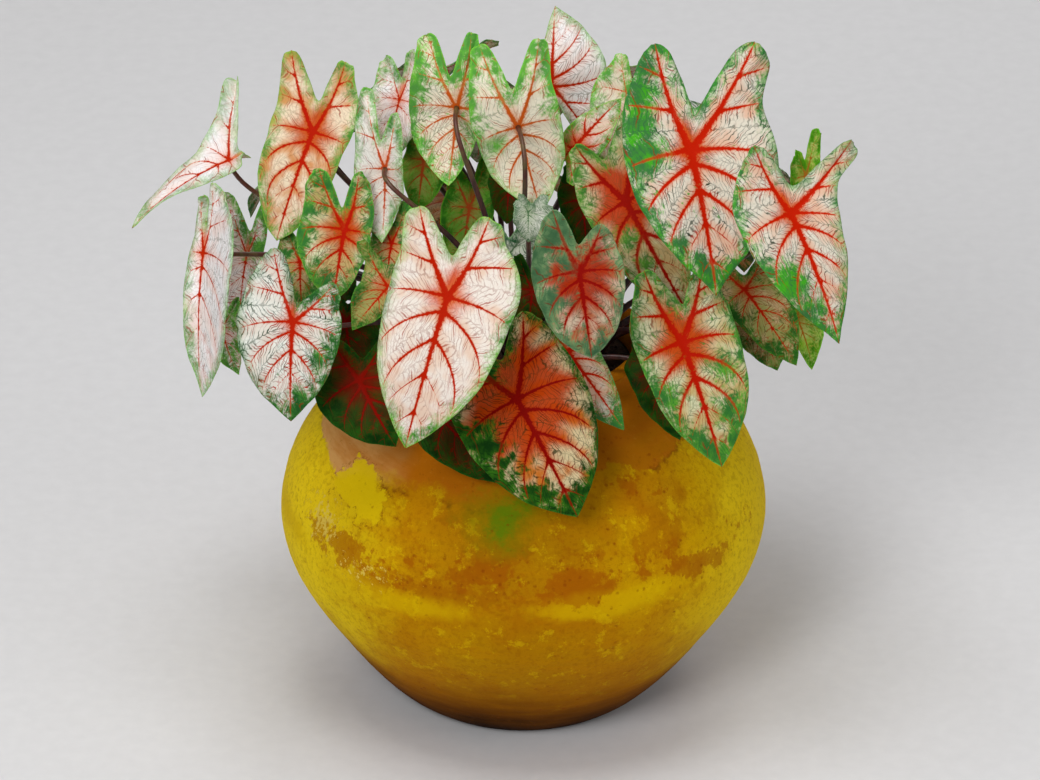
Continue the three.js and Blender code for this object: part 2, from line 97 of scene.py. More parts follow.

# One row for each blade. The first line is where it is: hub and tip are where the stalk meets it and
# where it ends, and face is where its upper side looks, as a compass angle from +X and a height in
# degrees. The second line is its shape: widths, lobes and notch are its outline, left and right as
# seen from above with the tip pointing away, and point is how pointed its tip is. The third line is
# its colour: bands is how wide the green margin is at the left and right of the front and of the
# lobes, and tip_band the same at the tip. flush_reach is how far the middle's colour goes from the
# hub. blotch and net are how much green mottling and fine net it shows, from 0 to 1. patches are
# green areas, as their middles along and across from the hub, and their radii.
#
# For leaf_01 to leaf_35 and leaf_49 to leaf_53, a scratch program worked out hub, tip, widths, lobes
# and notch from positions read by eye off the photograph and guessed depths, and these rows hold its
# results as it printed them. Everything else in the rows was chosen one by one.
LEAF_FIELDS = (
    "name", "crown", "look", "hub", "tip", "face",
    "widths", "lobes", "notch", "point", "fold", "arch", "wave",
    "palette", "vein_width", "bands", "tip_band", "flush_reach", "blotch", "net", "patches",
)
LEAF_ROWS = [
    ["leaf_01", "left", "pink", [-289, 0, 583], [-385, -30, 524], [-150, 40],
     [15, 28], [[19, 5], [52, 83]], [14, 10], 1.1, 20, 8, 8,
     "white", 1.5, [1, 1, 1, 1], 5, 1, 0.0, 0.3, []],
    ["leaf_02", "left", "pink", [-207, 30, 598], [-242, -40, 515], [-100, 30],
     [38, 42], [[80, 7], [74, 47]], [34, 6], 0.72, 6, 8, 4,
     "peach", 2.5, [3, 3.5, 4, 3], 6, 14, 0.1, 0.5, []],
    ["leaf_03", "left", "green", [-174, -70, 543], [-185, -110, 485], [-95, 35],
     [28, 46], [[59, 5], [56, 36]], [22, 7], 0.85, 16, 6, 4,
     "meadow", 2.4, [6, 12, 8, 12], 14, 14, 0.5, 0.9, []],
    ["leaf_04", "front", "cream", [-223, -160, 490], [-225, -205, 405], [-98, 30],
     [47, 52], [[38, 39], [71, 21]], [19, -3], 1, 6, 8, 4,
     "net", 2.2, [8, 2, 6, 1.5], 12, 4, 0.3, 1.0, [[36, -34, 13], [76, -12, 12], [-28, -26, 8]]],
    ["leaf_05", "left", "pink", [-313, -60, 512], [-316, -110, 378], [-128, 20],
     [74, 18], [[70, 12], [56, 5]], [27, 0], 0.9, 30, 6, 6,
     "white", 1.6, [2, 3, 2, 2], 4, 2, 0.1, 0.6, []],
    ["leaf_06", "left", "green", [-274, 20, 467], [-282, 0, 393], [-110, 35],
     [19, 37], [[53, 11], [59, 28]], [23, 1], 1, 18, 5, 4,
     "white", 1.0, [6, 5, 9, 6], 9, 0, 0.4, 0.9, [[-8, -12, 11]]],
    ["leaf_07", "middle", "cream", [-135, -30, 589], [-138, -60, 523], [80, -25],
     [37, 19], [[79, 25], [56, 9]], [28, -5], 1.0, 25, 5, 4,
     "white", 1.3, [3, 3, 4, 4], 4, 1, 0.2, 0.45, []],
    ["leaf_08", "middle", "green", [-65, 0, 641], [-73, -25, 568], [85, -25],
     [49, 24], [[69, 37], [76, 7]], [31, -9], 0.9, 14, 6, 4,
     "pearl", 1.8, [8, 8, 13, 12], 6, 5, 0.45, 1.0, []],
    ["leaf_09", "back", "pink", [-122, 70, 614], [-130, 50, 557], [-120, 30],
     [34, 30], [[51, 5], [41, 21]], [21, 4], 1, 18, 5, 3,
     "white", 1.0, [4, 4, 4, 4], 5, 1, 0.2, 0.6, []],
    ["leaf_10", "middle", "green", [-98, 45, 560], [-104, 20, 515], [-95, 35],
     [26, 21], [[47, 5], [36, 18]], [22, 3], 1, 12, 4, 3,
     "fern", 1.6, [6, 6, 6, 6], 6, 2, 0.6, 0.5, []],
    ["leaf_11", "middle", "cream", [-5, -10, 625], [18, -35, 544], [95, -25],
     [43, 44], [[89, 15], [79, 43]], [39, 4], 0.9, 10, 8, 4,
     "pearl", 2.0, [3, 3, 9, 9], 3, 3, 0.15, 0.6, [[12, -26, 7]]],
    ["leaf_12", "front", "cream", [5, -95, 576], [5, -110, 551], [-90, 30],
     [32, 19], [[17, 22], [18, 10]], [9, -5], 1, 40, 3, 3,
     "frost", 0.9, [2, 2, 2, 2], 3, 1, 0.4, 1.0, []],
    ["leaf_13", "back", "red", [28, 112, 607], [32, 160, 673], [-92, 35],
     [12, 56], [[35, 5], [42, 36]], [18, 8], 1, 12, 6, 4,
     "white", 2.6, [1.5, 1.5, 1.5, 1.5], 2, 7, 0.05, 0.7, []],
    ["leaf_14", "back", "green", [108, 75, 594], [116, 40, 518], [-95, 35],
     [35, 42], [[50, 25], [62, 5]], [24, -4], 1, 14, 6, 4,
     "pearl", 1.5, [6, 5, 7, 7], 4, 4, 0.3, 0.6, [[-20, -24, 12]]],
    ["leaf_15", "back", "pink", [49, 20, 584], [97, 45, 629], [-95, 45],
     [19, 27], [[28, 5], [27, 22]], [13, 1], 1, 14, 5, 3,
     "cream", 2.2, [4, 4, 6, 6], 4, 14, 0.25, 0.5, []],
    ["leaf_16", "right", "pink", [163, -60, 625], [188, -125, 500], [-80, 30],
     [81, 65], [[93, 81], [108, 15]], [40, -13], 1.2, 6, 10, 5,
     "big", 4.0, [3, 9, 5, 8], 26, 12, 0.45, 1.0, [[-5, 50, 23], [-32, 48, 20], [-62, 38, 18], [-88, 32, 15]]],
    ["leaf_17", "middle", "red", [101, -40, 558], [163, -90, 458], [-100, 32],
     [37, 41], [[80, 45], [73, 18]], [47, 0], 0.85, 6, 8, 4,
     "moor", 3.2, [5, 7, 5, 8], 6, 26, 0.35, 0.6, [[34, 15, 9], [62, 12, 8]]],
    ["leaf_18", "right", "pink", [258, -130, 593], [306, -180, 477], [-70, 30],
     [41, 56], [[44, 84], [73, 8]], [24, -14], 1.2, 10, 10, 5,
     "big", 3.1, [3, 7, 2, 6], 11, 9, 0.1, 0.9, [[62, 32, 21], [92, 18, 14]]],
    ["leaf_19", "right", "green", [279, 20, 555], [285, 0, 505], [-75, 35],
     [20, 21], [[46, 17], [26, 5]], [16, -2], 1, 30, 4, 3,
     "lime", 1.4, [8, 8, 8, 8], 9, 4, 0.7, 0.5, []],
    ["leaf_20", "right", "pink", [219, -20, 449], [271, -50, 380], [-75, 30],
     [36, 29], [[19, 39], [42, 5]], [12, -9], 1, 10, 6, 4,
     "moss", 1.6, [9, 9, 6, 6], 14, 3, 0.6, 1.0, []],
    ["leaf_21", "right", "green", [273, 20, 395], [289, 0, 347], [-60, 30],
     [22, 18], [[26, 18], [31, 5]], [13, -3], 1, 25, 4, 3,
     "lime", 1.2, [6, 6, 6, 6], 8, 4, 0.6, 0.4, []],
    ["leaf_22", "right", "cream", [155, -140, 456], [194, -190, 345], [-82, 30],
     [55, 47], [[62, 42], [78, 13]], [35, -13], 0.95, 8, 10, 5,
     "meadow", 3.5, [7, 9, 5, 6], 30, 22, 0.5, 0.8, [[34, -32, 12], [46, 34, 14], [76, -26, 16]]],
    ["leaf_23", "front", "green", [129, -95, 398], [154, -135, 344], [-90, 30],
     [32, 27], [[33, 31], [36, 5]], [18, -8], 1, 12, 6, 4,
     "dark", 1.6, [6, 6, 6, 6], 8, 2, 0.8, 0.5, []],
    ["leaf_24", "front", "cream", [-72, -225, 553], [-113, -285, 421], [-97, 30],
     [66, 57], [[84, 17], [76, 52]], [39, 8], 0.95, 6, 12, 4,
     "cream", 3.0, [4, 1.5, 3, 1.5], 6, 12, 0.02, 0.55, []],
    ["leaf_25", "front", "red", [-6, -190, 421], [53, -235, 315], [-86, 30],
     [66, 66], [[72, 45], [67, 26]], [40, -5], 0.95, 8, 12, 5,
     "ember", 3.1, [5, 25, 5, 18], 24, 46, 0.25, 0.9, [[18, 46, 13]]],
    ["leaf_26", "front", "green", [44, -125, 437], [99, -165, 372], [-85, 30],
     [25, 30], [[22, 37], [41, 5]], [16, -6], 1, 8, 6, 4,
     "big", 2.0, [4, 6, 3, 4], 9, 4, 0.15, 0.8, []],
    ["leaf_27", "front", "red", [-160, -150, 420], [-124, -180, 362], [-100, 28],
     [35, 46], [[24, 42], [46, 5]], [17, -13], 1, 8, 6, 4,
     "dark", 2.4, [9, 11, 7, 8], 12, 14, 0.6, 0.5, []],
    ["leaf_28", "front", "green", [-81, -160, 386], [-24, -195, 330], [-92, 28],
     [28, 33], [[23, 33], [45, 5]], [18, -5], 1, 10, 6, 5,
     "dark", 1.4, [9, 9, 8, 8], 10, 2, 0.5, 0.8, []],
    ["leaf_29", "front", "red", [54, -185, 559], [66, -222, 485], [-90, 30],
     [42, 45], [[42, 28], [62, 17]], [26, -3], 0.75, 6, 6, 5,
     "dusk", 2.8, [7, 17, 10, 18], 12, 26, 0.5, 0.7, []],
    ["leaf_30", "middle", "green", [-129, -50, 517], [-134, -75, 477], [-100, 32],
     [23, 22], [[44, 10], [36, 17]], [20, 2], 1, 14, 4, 3,
     "meadow", 1.2, [9, 9, 9, 9], 9, 2, 0.6, 0.8, []],
    ["leaf_31", "left", "cream", [-131, -124, 509], [-166, -149, 475], [-100, 32],
     [17, 26], [[38, 5], [20, 49]], [16, 17], 1, 12, 4, 4,
     "moss", 1.3, [5, 5, 5, 5], 6, 3, 0.55, 0.9, []],
    ["leaf_32", "front", "green", [9, -110, 498], [5, -130, 465], [-90, 32],
     [21, 23], [[34, 9], [34, 17]], [16, 2], 1, 10, 4, 3,
     "dark", 1.4, [8, 8, 8, 8], 8, 4, 0.8, 0.5, []],
    ["leaf_33", "middle", "green", [-53, 30, 514], [-62, 0, 454], [-95, 40],
     [25, 27], [[53, 8], [44, 25]], [24, 1], 1, 14, 5, 4,
     "fern", 1.4, [8, 8, 8, 8], 8, 2, 0.8, 0.5, []],
    ["leaf_34", "front", "green", [-19, -47, 495], [-23, -51, 449], [-90, 35],
     [34, 15], [[46, 22], [38, 9]], [24, -3], 1, 14, 5, 4,
     "frost", 1.0, [6, 6, 6, 6], 8, 1, 0.6, 0.8, []],
    ["leaf_35", "left", "green", [-174, -80, 446], [-164, -105, 401], [-105, 35],
     [37, 27], [[32, 31], [34, 10]], [17, -5], 1, 14, 5, 4,
     "dark", 1.4, [8, 8, 8, 8], 8, 3, 0.8, 0.5, []],
    ["leaf_36", "back", "pink", [0, 190, 560], [6, 290, 455], [88, 35],
     [62, 58], [[84, 36], [88, 38]], [36, 0], 1, 8, 10, 4,
     "peach", 3.2, [5, 6, 6, 5], 9, 20, 0.15, 0.6, []],
    ["leaf_37", "back", "cream", [104, 175, 582], [150, 258, 475], [58, 35],
     [60, 56], [[82, 36], [78, 34]], [34, 0], 1, 8, 10, 4,
     "cream", 2.8, [4, 3, 4, 4], 8, 14, 0.05, 0.4, []],
    ["leaf_38", "back", "pink", [-92, 178, 588], [-140, 262, 482], [118, 35],
     [56, 58], [[80, 34], [82, 36]], [34, 0], 1, 8, 10, 4,
     "big", 3.2, [6, 5, 8, 6], 12, 16, 0.2, 0.8, [[-30, 40, 14]]],
    ["leaf_39", "right", "cream", [196, 112, 552], [270, 160, 448], [28, 35],
     [58, 56], [[78, 36], [80, 36]], [34, 0], 1, 8, 10, 4,
     "net", 2.6, [5, 6, 5, 4], 12, 8, 0.1, 1.0, []],
    ["leaf_40", "left", "pink", [-200, 110, 540], [-276, 150, 440], [156, 35],
     [54, 56], [[76, 34], [80, 36]], [34, 0], 1, 8, 10, 4,
     "big", 3.0, [6, 5, 6, 6], 12, 14, 0.2, 0.8, []],
    ["leaf_41", "back", "green", [62, 205, 446], [92, 300, 350], [74, 32],
     [56, 52], [[70, 32], [72, 34]], [30, 0], 1, 8, 8, 4,
     "moss", 2.4, [9, 11, 9, 9], 14, 14, 0.4, 0.7, []],
    ["leaf_42", "back", "red", [-62, 206, 438], [-90, 296, 342], [108, 32],
     [46, 52], [[66, 30], [64, 30]], [28, 0], 1, 8, 8, 4,
     "ember", 2.6, [8, 10, 7, 9], 14, 24, 0.3, 0.7, []],
    ["leaf_43", "right", "pink", [238, 66, 458], [320, 88, 368], [12, 32],
     [50, 52], [[66, 32], [68, 32]], [28, 0], 1, 10, 8, 4,
     "peach", 2.4, [6, 6, 5, 6], 10, 16, 0.2, 0.6, []],
    ["leaf_44", "left", "cream", [-240, 100, 408], [-312, 142, 320], [150, 32],
     [44, 46], [[56, 28], [58, 30]], [24, 0], 1, 10, 8, 4,
     "net", 2.2, [6, 6, 5, 5], 10, 6, 0.2, 1.0, []],
    ["leaf_45", "back", "red", [168, 162, 430], [228, 226, 336], [42, 32],
     [50, 50], [[64, 30], [66, 32]], [28, 0], 1, 10, 8, 4,
     "ember", 2.6, [9, 8, 8, 7], 14, 24, 0.3, 0.7, []],
    ["leaf_46", "back", "green", [-156, 172, 420], [-206, 238, 328], [130, 32],
     [46, 44], [[62, 30], [60, 28]], [26, 0], 1, 10, 8, 4,
     "moss", 2.2, [8, 9, 8, 8], 12, 10, 0.5, 0.7, []],
    ["leaf_47", "left", "green", [-196, 44, 402], [-250, 46, 326], [-172, 32],
     [36, 36], [[46, 22], [46, 22]], [20, 0], 1, 10, 6, 4,
     "dark", 1.8, [8, 8, 8, 8], 9, 8, 0.7, 0.5, []],
    ["leaf_48", "back", "pink", [-34, 60, 600], [-46, 110, 524], [100, 40],
     [36, 36], [[46, 22], [48, 24]], [20, 0], 1, 8, 6, 4,
     "white", 2.0, [3, 3, 4, 4], 5, 8, 0.1, 0.5, []],
    ["leaf_49", "left", "green", [-297, -50, 423], [-281, -64, 377], [-112, 30],
     [16, 17], [[25, 25], [34, 5]], [12, -7], 1, 14, 5, 4,
     "white", 1.1, [9, 9, 9, 9], 8, 0, 0.5, 1.0, []],
    ["leaf_50", "right", "pink", [231, -2, 407], [253, -28, 362], [-78, 30],
     [29, 28], [[25, 32], [50, 5]], [16, -8], 1, 10, 6, 4,
     "moss", 1.3, [6, 6, 6, 6], 8, 2, 0.5, 1.0, []],
    ["leaf_51", "middle", "green", [59, 26, 525], [64, 2, 471], [-92, 35],
     [25, 24], [[35, 17], [37, 11]], [16, -2], 1, 14, 5, 4,
     "dark", 1.4, [8, 8, 8, 8], 8, 4, 0.8, 0.5, []],
    ["leaf_52", "middle", "green", [-14, 20, 548], [-16, 2, 511], [-90, 38],
     [22, 20], [[32, 12], [31, 13]], [14, 0], 1, 14, 5, 4,
     "dark", 1.4, [8, 8, 8, 8], 8, 2, 0.8, 0.5, []],
    ["leaf_53", "left", "green", [-219, -40, 491], [-216, -60, 439], [-105, 35],
     [24, 22], [[29, 19], [36, 14]], [15, -2], 1, 14, 5, 4,
     "meadow", 1.2, [11, 11, 11, 11], 12, 1, 0.7, 0.8, []],
]
LEAVES = [dict(zip(LEAF_FIELDS, row)) for row in LEAF_ROWS]


# ---- The leaves' colours: one set for each kind of leaf, as red, green and blue from 0 to 255 ----
# base and blush: the pale tissue. flush: the middle round the hub. vein, halo: the main veins and the
# colour that bleeds from them. green, deep, rim: the margin, its darker parts and its very edge. line:
# the fine net. under and vein_under: what pales the underside, partly its own paler colour and partly
# painted light that shines through the blade, and its veins.
PALETTE_FIELDS = (
    "base", "blush", "flush", "vein", "halo",
    "green", "deep", "rim", "line", "under", "vein_under",
)
PALE_UNDER = [(230, 228, 212), (190, 72, 26)]
PALETTE_ROWS = {
    "white": [
        (240, 238, 238), (236, 220, 214), (216, 110, 76), (178, 34, 2), (212, 132, 92),
        (112, 184, 66), (66, 130, 54), (134, 200, 74), (92, 84, 58), *PALE_UNDER,
    ],
    "pearl": [
        (232, 226, 206), (224, 204, 176), (208, 124, 70), (188, 56, 6), (208, 128, 66),
        (112, 196, 52), (84, 150, 66), (132, 212, 66), (96, 104, 64), (230, 224, 200), (190, 84, 24),
    ],
    "cream": [
        (228, 220, 210), (220, 194, 174), (202, 78, 36), (172, 26, 0), (200, 100, 46),
        (108, 190, 44), (52, 118, 38), (146, 210, 70), (132, 60, 34), *PALE_UNDER,
    ],
    "big": [
        (216, 210, 194), (216, 176, 150), (192, 68, 6), (184, 26, 0), (200, 86, 24),
        (68, 168, 26), (56, 112, 60), (84, 150, 66), (20, 44, 22), *PALE_UNDER,
    ],
    "net": [
        (222, 224, 216), (214, 204, 192), (192, 58, 16), (172, 26, 0), (186, 84, 34),
        (72, 136, 50), (34, 86, 36), (84, 150, 60), (24, 58, 30), *PALE_UNDER,
    ],
    "peach": [
        (230, 212, 184), (204, 142, 90), (190, 76, 24), (174, 24, 0), (192, 82, 20),
        (104, 180, 60), (66, 128, 44), (134, 204, 70), (122, 74, 34), *PALE_UNDER,
    ],
    "ember": [
        (206, 188, 146), (194, 110, 38), (182, 58, 0), (130, 6, 0), (166, 38, 0),
        (56, 116, 24), (14, 54, 12), (70, 136, 40), (40, 46, 14), (170, 130, 80), (150, 40, 14),
    ],
    "dusk": [
        (196, 178, 154), (164, 92, 60), (152, 38, 4), (130, 6, 0), (160, 42, 8),
        (118, 150, 100), (56, 92, 60), (124, 158, 110), (36, 58, 38), (150, 120, 90), (140, 40, 20),
    ],
    # moss: a dull yellow-green with darker greens, partly its own colour and partly painted shade.
    "moss": [
        (190, 166, 122), (152, 152, 88), (184, 68, 26), (170, 28, 0), (180, 80, 36),
        (70, 134, 40), (34, 86, 28), (90, 160, 50), (40, 76, 34), (160, 160, 110), (180, 70, 30),
    ],
    # dark: the green of the inner and lower leaves, darkened by painted shade as deep inside the plant.
    "dark": [
        (34, 66, 14), (58, 44, 12), (104, 12, 0), (122, 10, 0), (80, 20, 4),
        (32, 86, 16), (10, 44, 6), (46, 98, 24), (8, 34, 8), (60, 70, 40), (90, 40, 20),
    ],
    "meadow": [
        (204, 204, 166), (188, 162, 108), (184, 62, 0), (170, 20, 0), (174, 62, 0),
        (84, 154, 44), (46, 106, 46), (126, 200, 76), (48, 76, 34), (226, 222, 188), (180, 66, 24),
    ],
    "moor": [
        (204, 200, 160), (186, 160, 108), (182, 50, 0), (146, 12, 0), (176, 48, 2),
        (90, 150, 50), (50, 104, 40), (120, 180, 70), (48, 70, 30), (190, 170, 120), (160, 50, 16),
    ],
    "fern": [
        (94, 150, 50), (124, 144, 66), (140, 70, 20), (150, 60, 20), (124, 90, 30),
        (76, 152, 30), (34, 92, 18), (120, 190, 50), (24, 64, 16), (120, 140, 70), (130, 70, 30),
    ],
    "frost": [
        (212, 212, 202), (190, 196, 178), (150, 160, 130), (66, 100, 62), (130, 150, 120),
        (86, 130, 82), (40, 82, 50), (130, 170, 110), (26, 54, 32), (200, 204, 184), (110, 120, 80),
    ],
    "lime": [
        (150, 190, 60), (186, 200, 112), (150, 130, 40), (170, 96, 30), (140, 150, 50),
        (100, 180, 24), (50, 120, 14), (130, 200, 50), (70, 120, 30), (150, 170, 80), (150, 110, 40),
    ],
}
PALETTES = {name: dict(zip(PALETTE_FIELDS, row)) for name, row in PALETTE_ROWS.items()}


# ---- Lines and meshes ----
def unit(vector):
    return vector / np.linalg.norm(vector)


def smooth_through(points, steps):
    """Points on a smooth line through the given ones, `steps` to a stretch. The first two columns
    are a place; any other column runs along with it."""
    points = np.asarray(points, float)
    line = np.vstack([2 * points[0] - points[1], points, 2 * points[-1] - points[-2]])
    gaps = np.sqrt(np.linalg.norm(np.diff(line[:, :2], axis=0), axis=1))
    share = (np.arange(steps) / steps)[:, None]
    stretches = []
    for i in range(1, len(line) - 2):
        before, start, end, after = line[i - 1:i + 3]
        gap_before, gap, gap_after = gaps[i - 1:i + 2]
        leave = (start - before) / gap_before - (end - before) / (gap_before + gap) + (end - start) / gap
        arrive = (end - start) / gap - (after - start) / (gap + gap_after) + (after - end) / gap_after
        stretches.append(
            (2 * share ** 3 - 3 * share ** 2 + 1) * start
            + (share ** 3 - 2 * share ** 2 + share) * leave * gap
            + (3 * share ** 2 - 2 * share ** 3) * end
            + (share ** 3 - share ** 2) * arrive * gap
        )
    return np.vstack([*stretches, points[-1:]])


def grid_faces(rows, columns, closed=False):
    """Quads of a grid of points that is stored row by row; closed joins the last column to the first."""
    faces = []
    for row in range(rows - 1):
        for column in range(columns if closed else columns - 1):
            following = (column + 1) % columns
            faces.append((
                row * columns + column,
                row * columns + following,
                (row + 1) * columns + following,
                (row + 1) * columns + column,
            ))
    return faces


def closed_faces(rows, sides):
    """The faces of a closed body: rings of points with a flat end at the first and at the last."""
    last = (rows - 1) * sides
    ends = [tuple(range(sides))[::-1], tuple(range(last, last + sides))]
    return grid_faces(rows, sides, closed=True) + ends


def append(points, faces, more_points, more_faces):
    """Adds one body's points and faces to those of others."""
    base = len(points)
    points.extend(more_points)
    faces.extend([[corner + base for corner in face] for face in more_faces])


def add_layer(mesh, layer, values):
    """Gives every point of a mesh three numbers under one name."""
    attribute = mesh.attributes.new(layer, "FLOAT_VECTOR", "POINT")
    attribute.data.foreach_set("vector", np.asarray(values, np.float32).ravel())


def make_mesh(name, points, faces, materials, layers=None, face_material=None):
    """An object from points in millimetres. layers hold three numbers for each point, under their names."""
    mesh = bpy.data.meshes.new(name)
    mesh.from_pydata((np.asarray(points) * MM).tolist(), [], faces)
    for material in materials:
        mesh.materials.append(material)
    if face_material is not None:
        mesh.polygons.foreach_set("material_index", face_material)
    mesh.polygons.foreach_set("use_smooth", [True] * len(mesh.polygons))
    for layer, values in (layers or {}).items():
        add_layer(mesh, layer, values)
    mesh.update()
    piece = bpy.data.objects.new(name, mesh)
    bpy.context.scene.collection.objects.link(piece)
    return piece


def dress(piece, slot, *nodes):
    """Puts a finished piece in the model: it rides on the body and stands for these nodes."""
    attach(piece, "root")
    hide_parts(*nodes)


# ---- The blades' shape ----
OUTLINE_STEPS = 16  # points of the smooth outline for each point of the rough one
EDGE_WAVE = 1.1  # how far the outline swings in and out
EDGE_WAVES = (5.5, 13)  # swings on each side, the slow and the quick ones
QUICK_SHARE = 0.4  # the quick swings' height, as a share of the slow ones'
LOBE_END = len(FRONT) + 1 + LOBE_ROUND.index([0, 0])  # the outline points from the tip to the lobe's end
NOTCH = LOBE_END + 3
BLADE_HALF = 0.4  # half the blade's thickness
# Where the main side veins leave the midrib, as shares of the way to the tip, and, below zero, where
# they leave the rib of the back lobe, as shares of the way to the lobe's end.
VEINS = [-1, -0.7, -0.38, 0, 0.09, 0.27, 0.5, 0.75, 1]
ROWS_BETWEEN = 8  # rows of the mesh from one side vein to the next
COLUMNS = 20  # columns of the mesh from the spine out to the edge
INNER_COLUMNS = 7  # and from the lobe's rib to its inner edge
MARCH_STEPS = 240  # steps of a side vein's way, until surely past the edge
MARCH_REACH = 1.5  # how long that way is, in blade half widths and some room
MARCH_ROOM = 30
LINE_SPACING = 1.2  # between the points that distances to the veins are measured from
EDGE_SPACING = 0.5  # and between the points of the lobe's inner edge
# The angle between midrib and side vein where it starts: at the hub, at least this far ahead of the
# lobe's rib at the lobe's end, and at the tip. HUB_SHARE keeps the first under this share of the rib's.
HUB_ANGLE = math.radians(92)
HUB_SHARE = 0.62
LOBE_LEAD = math.radians(35)
TIP_ANGLE = math.radians(45)
TIP_APPROACH = 0.13  # over which share of the midrib the angle falls from the hub's to the tip's
# How far a side vein turns toward the tip on its way, in degrees, by the spot where it starts.
TURNS = [[-1, -0.3, 0, 0.1, 1], [0, -14, -26, -48, -34]]
TURN_LATE = 1.6  # above 1, a side vein runs straight at first and turns toward the tip near the edge
TURN_WHOLE = 1.3  # a side vein stops turning after this many blade half widths
RIB_BULGE = 0.07  # how far the lobe's rib bends outward, as a share of its length
# The veins' widths: how the midrib narrows, how wide a side vein is beside it, how much less it is
# toward the tip and toward its own end, and where it ends.
MIDRIB_END = 0.22
MIDRIB_TAPER = 1.7
SIDE_WIDTH = 0.56
TIPWARD_LOSS = 0.55
OUTWARD_LOSS = 0.72
VEIN_END = 0.94
FAINT_VEINS = 0.4  # side veins beyond this share of the way to the tip are only this share as wide


def leaf_frame(leaf):
    """A leaf's hub, its own directions (along the midrib, to its right, out of its upper side), length."""
    hub = np.array(leaf["hub"], float)
    along = np.array(leaf["tip"], float) - hub
    length = np.linalg.norm(along)
    along = along / length
    compass, height = np.radians(leaf["face"])
    up = np.array([
        math.cos(compass) * math.cos(height),
        math.sin(compass) * math.cos(height),
        math.sin(height),
    ])
    up = unit(up - up @ along * along)
    return hub, along, np.cross(along, up), up, length


def blade_side(leaf, length, sign):
    """One side of the solid's outline from tip to notch, as [along, across], across positive outwards."""
    side = 1 if sign > 0 else 0
    width = leaf["widths"][side]
    back, out = leaf["lobes"][side]
    notch = np.array([-leaf["notch"][0], sign * leaf["notch"][1]], float)
    points = [[along * length, across ** leaf["point"] * width] for along, across in FRONT]
    shoulder_back, shoulder_left = WIDE_SHOULDER if out > width else SHOULDER
    points.append([-shoulder_back * back, out + shoulder_left * (width - out)])
    turn = math.pi + LOBE_TURN * (math.atan2(out, -back) - math.pi)
    radius = min(LOBE_RADIUS * width, LOBE_ROOM * (out - notch[1]))
    spare = LOBE_SPARE * max(width - out, 0)

    def about_lobe(behind, aside):
        outward = aside * radius + (aside * spare if aside > 0 else 0)
        return np.array([
            -back - behind * radius * math.cos(turn) + outward * math.sin(turn),
            out - behind * radius * math.sin(turn) - outward * math.cos(turn),
        ])

    points += [about_lobe(*place).tolist() for place in LOBE_ROUND]
    points.append((notch + INNER_MIDDLE * (about_lobe(*INNER_START) - notch)).tolist())
    return points + [notch.tolist()]


class Outline:
    """A blade's smooth outline, and the way from any point of the blade to it."""

    def __init__(self, leaf, length):
        right = [[u, v, i / NOTCH] for i, (u, v) in enumerate(blade_side(leaf, length, 1))]
        left = [[u, -v, i / NOTCH] for i, (u, v) in enumerate(blade_side(leaf, length, -1))]
        loop = smooth_through(right + left[-2::-1], OUTLINE_STEPS)
        slow, quick = (np.sin(2 * math.pi * waves * loop[:, 2] + waves * length) for waves in EDGE_WAVES)
        swing = EDGE_WAVE * (slow + QUICK_SHARE * quick) * np.sin(math.pi * loop[:, 2])
        loop[:, :2] *= 1 + (swing / np.maximum(np.hypot(loop[:, 0], loop[:, 1]), 10))[:, None]
        angle = np.unwrap(np.arctan2(loop[:, 1], loop[:, 0]))
        self.angle = np.maximum.accumulate(angle)
        self.reach = np.hypot(loop[:, 0], loop[:, 1])
        self.share = loop[:, 2]
        self.loop = loop[:, :2]

    def level(self, u, v):
        """How far out a point lies, 0 at the hub and 1 at the edge, and how far round its side."""
        angle = np.arctan2(v, u) % (2 * math.pi)
        reach = np.interp(angle, self.angle, self.reach)
        return np.hypot(u, v) / reach, np.interp(angle, self.angle, self.share)

    def inner_edge(self, sign):
        """The lobe's inner edge on one side, from the notch to the lobe's end, across positive outwards."""
        ends = [NOTCH * OUTLINE_STEPS, (LOBE_END if sign > 0 else 2 * NOTCH - LOBE_END) * OUTLINE_STEPS]
        edge = self.loop[min(ends):max(ends) + 1]
        edge = edge[::-1] if sign > 0 else edge
        return edge * [1, sign]


def spine(leaf, length, sign, spots):
    """Points on the midrib (spots above zero) and on the lobe's rib (below), and the rib's direction."""
    back, out = leaf["lobes"][1 if sign > 0 else 0]
    end = np.array([-back, out], float)
    direction = math.atan2(out, -back)
    reach = np.hypot(back, out)
    outward = np.array([math.cos(direction - math.pi / 2), math.sin(direction - math.pi / 2)])
    middle = 0.5 * end + RIB_BULGE * reach * outward
    way = np.clip(-spots, 0, 1)[:, None]
    rib = 2 * (1 - way) * way * middle + way ** 2 * end
    midrib = np.stack([np.clip(spots, 0, 1) * length, np.zeros_like(spots)], axis=1)
    return np.where(spots[:, None] < 0, rib, midrib), direction


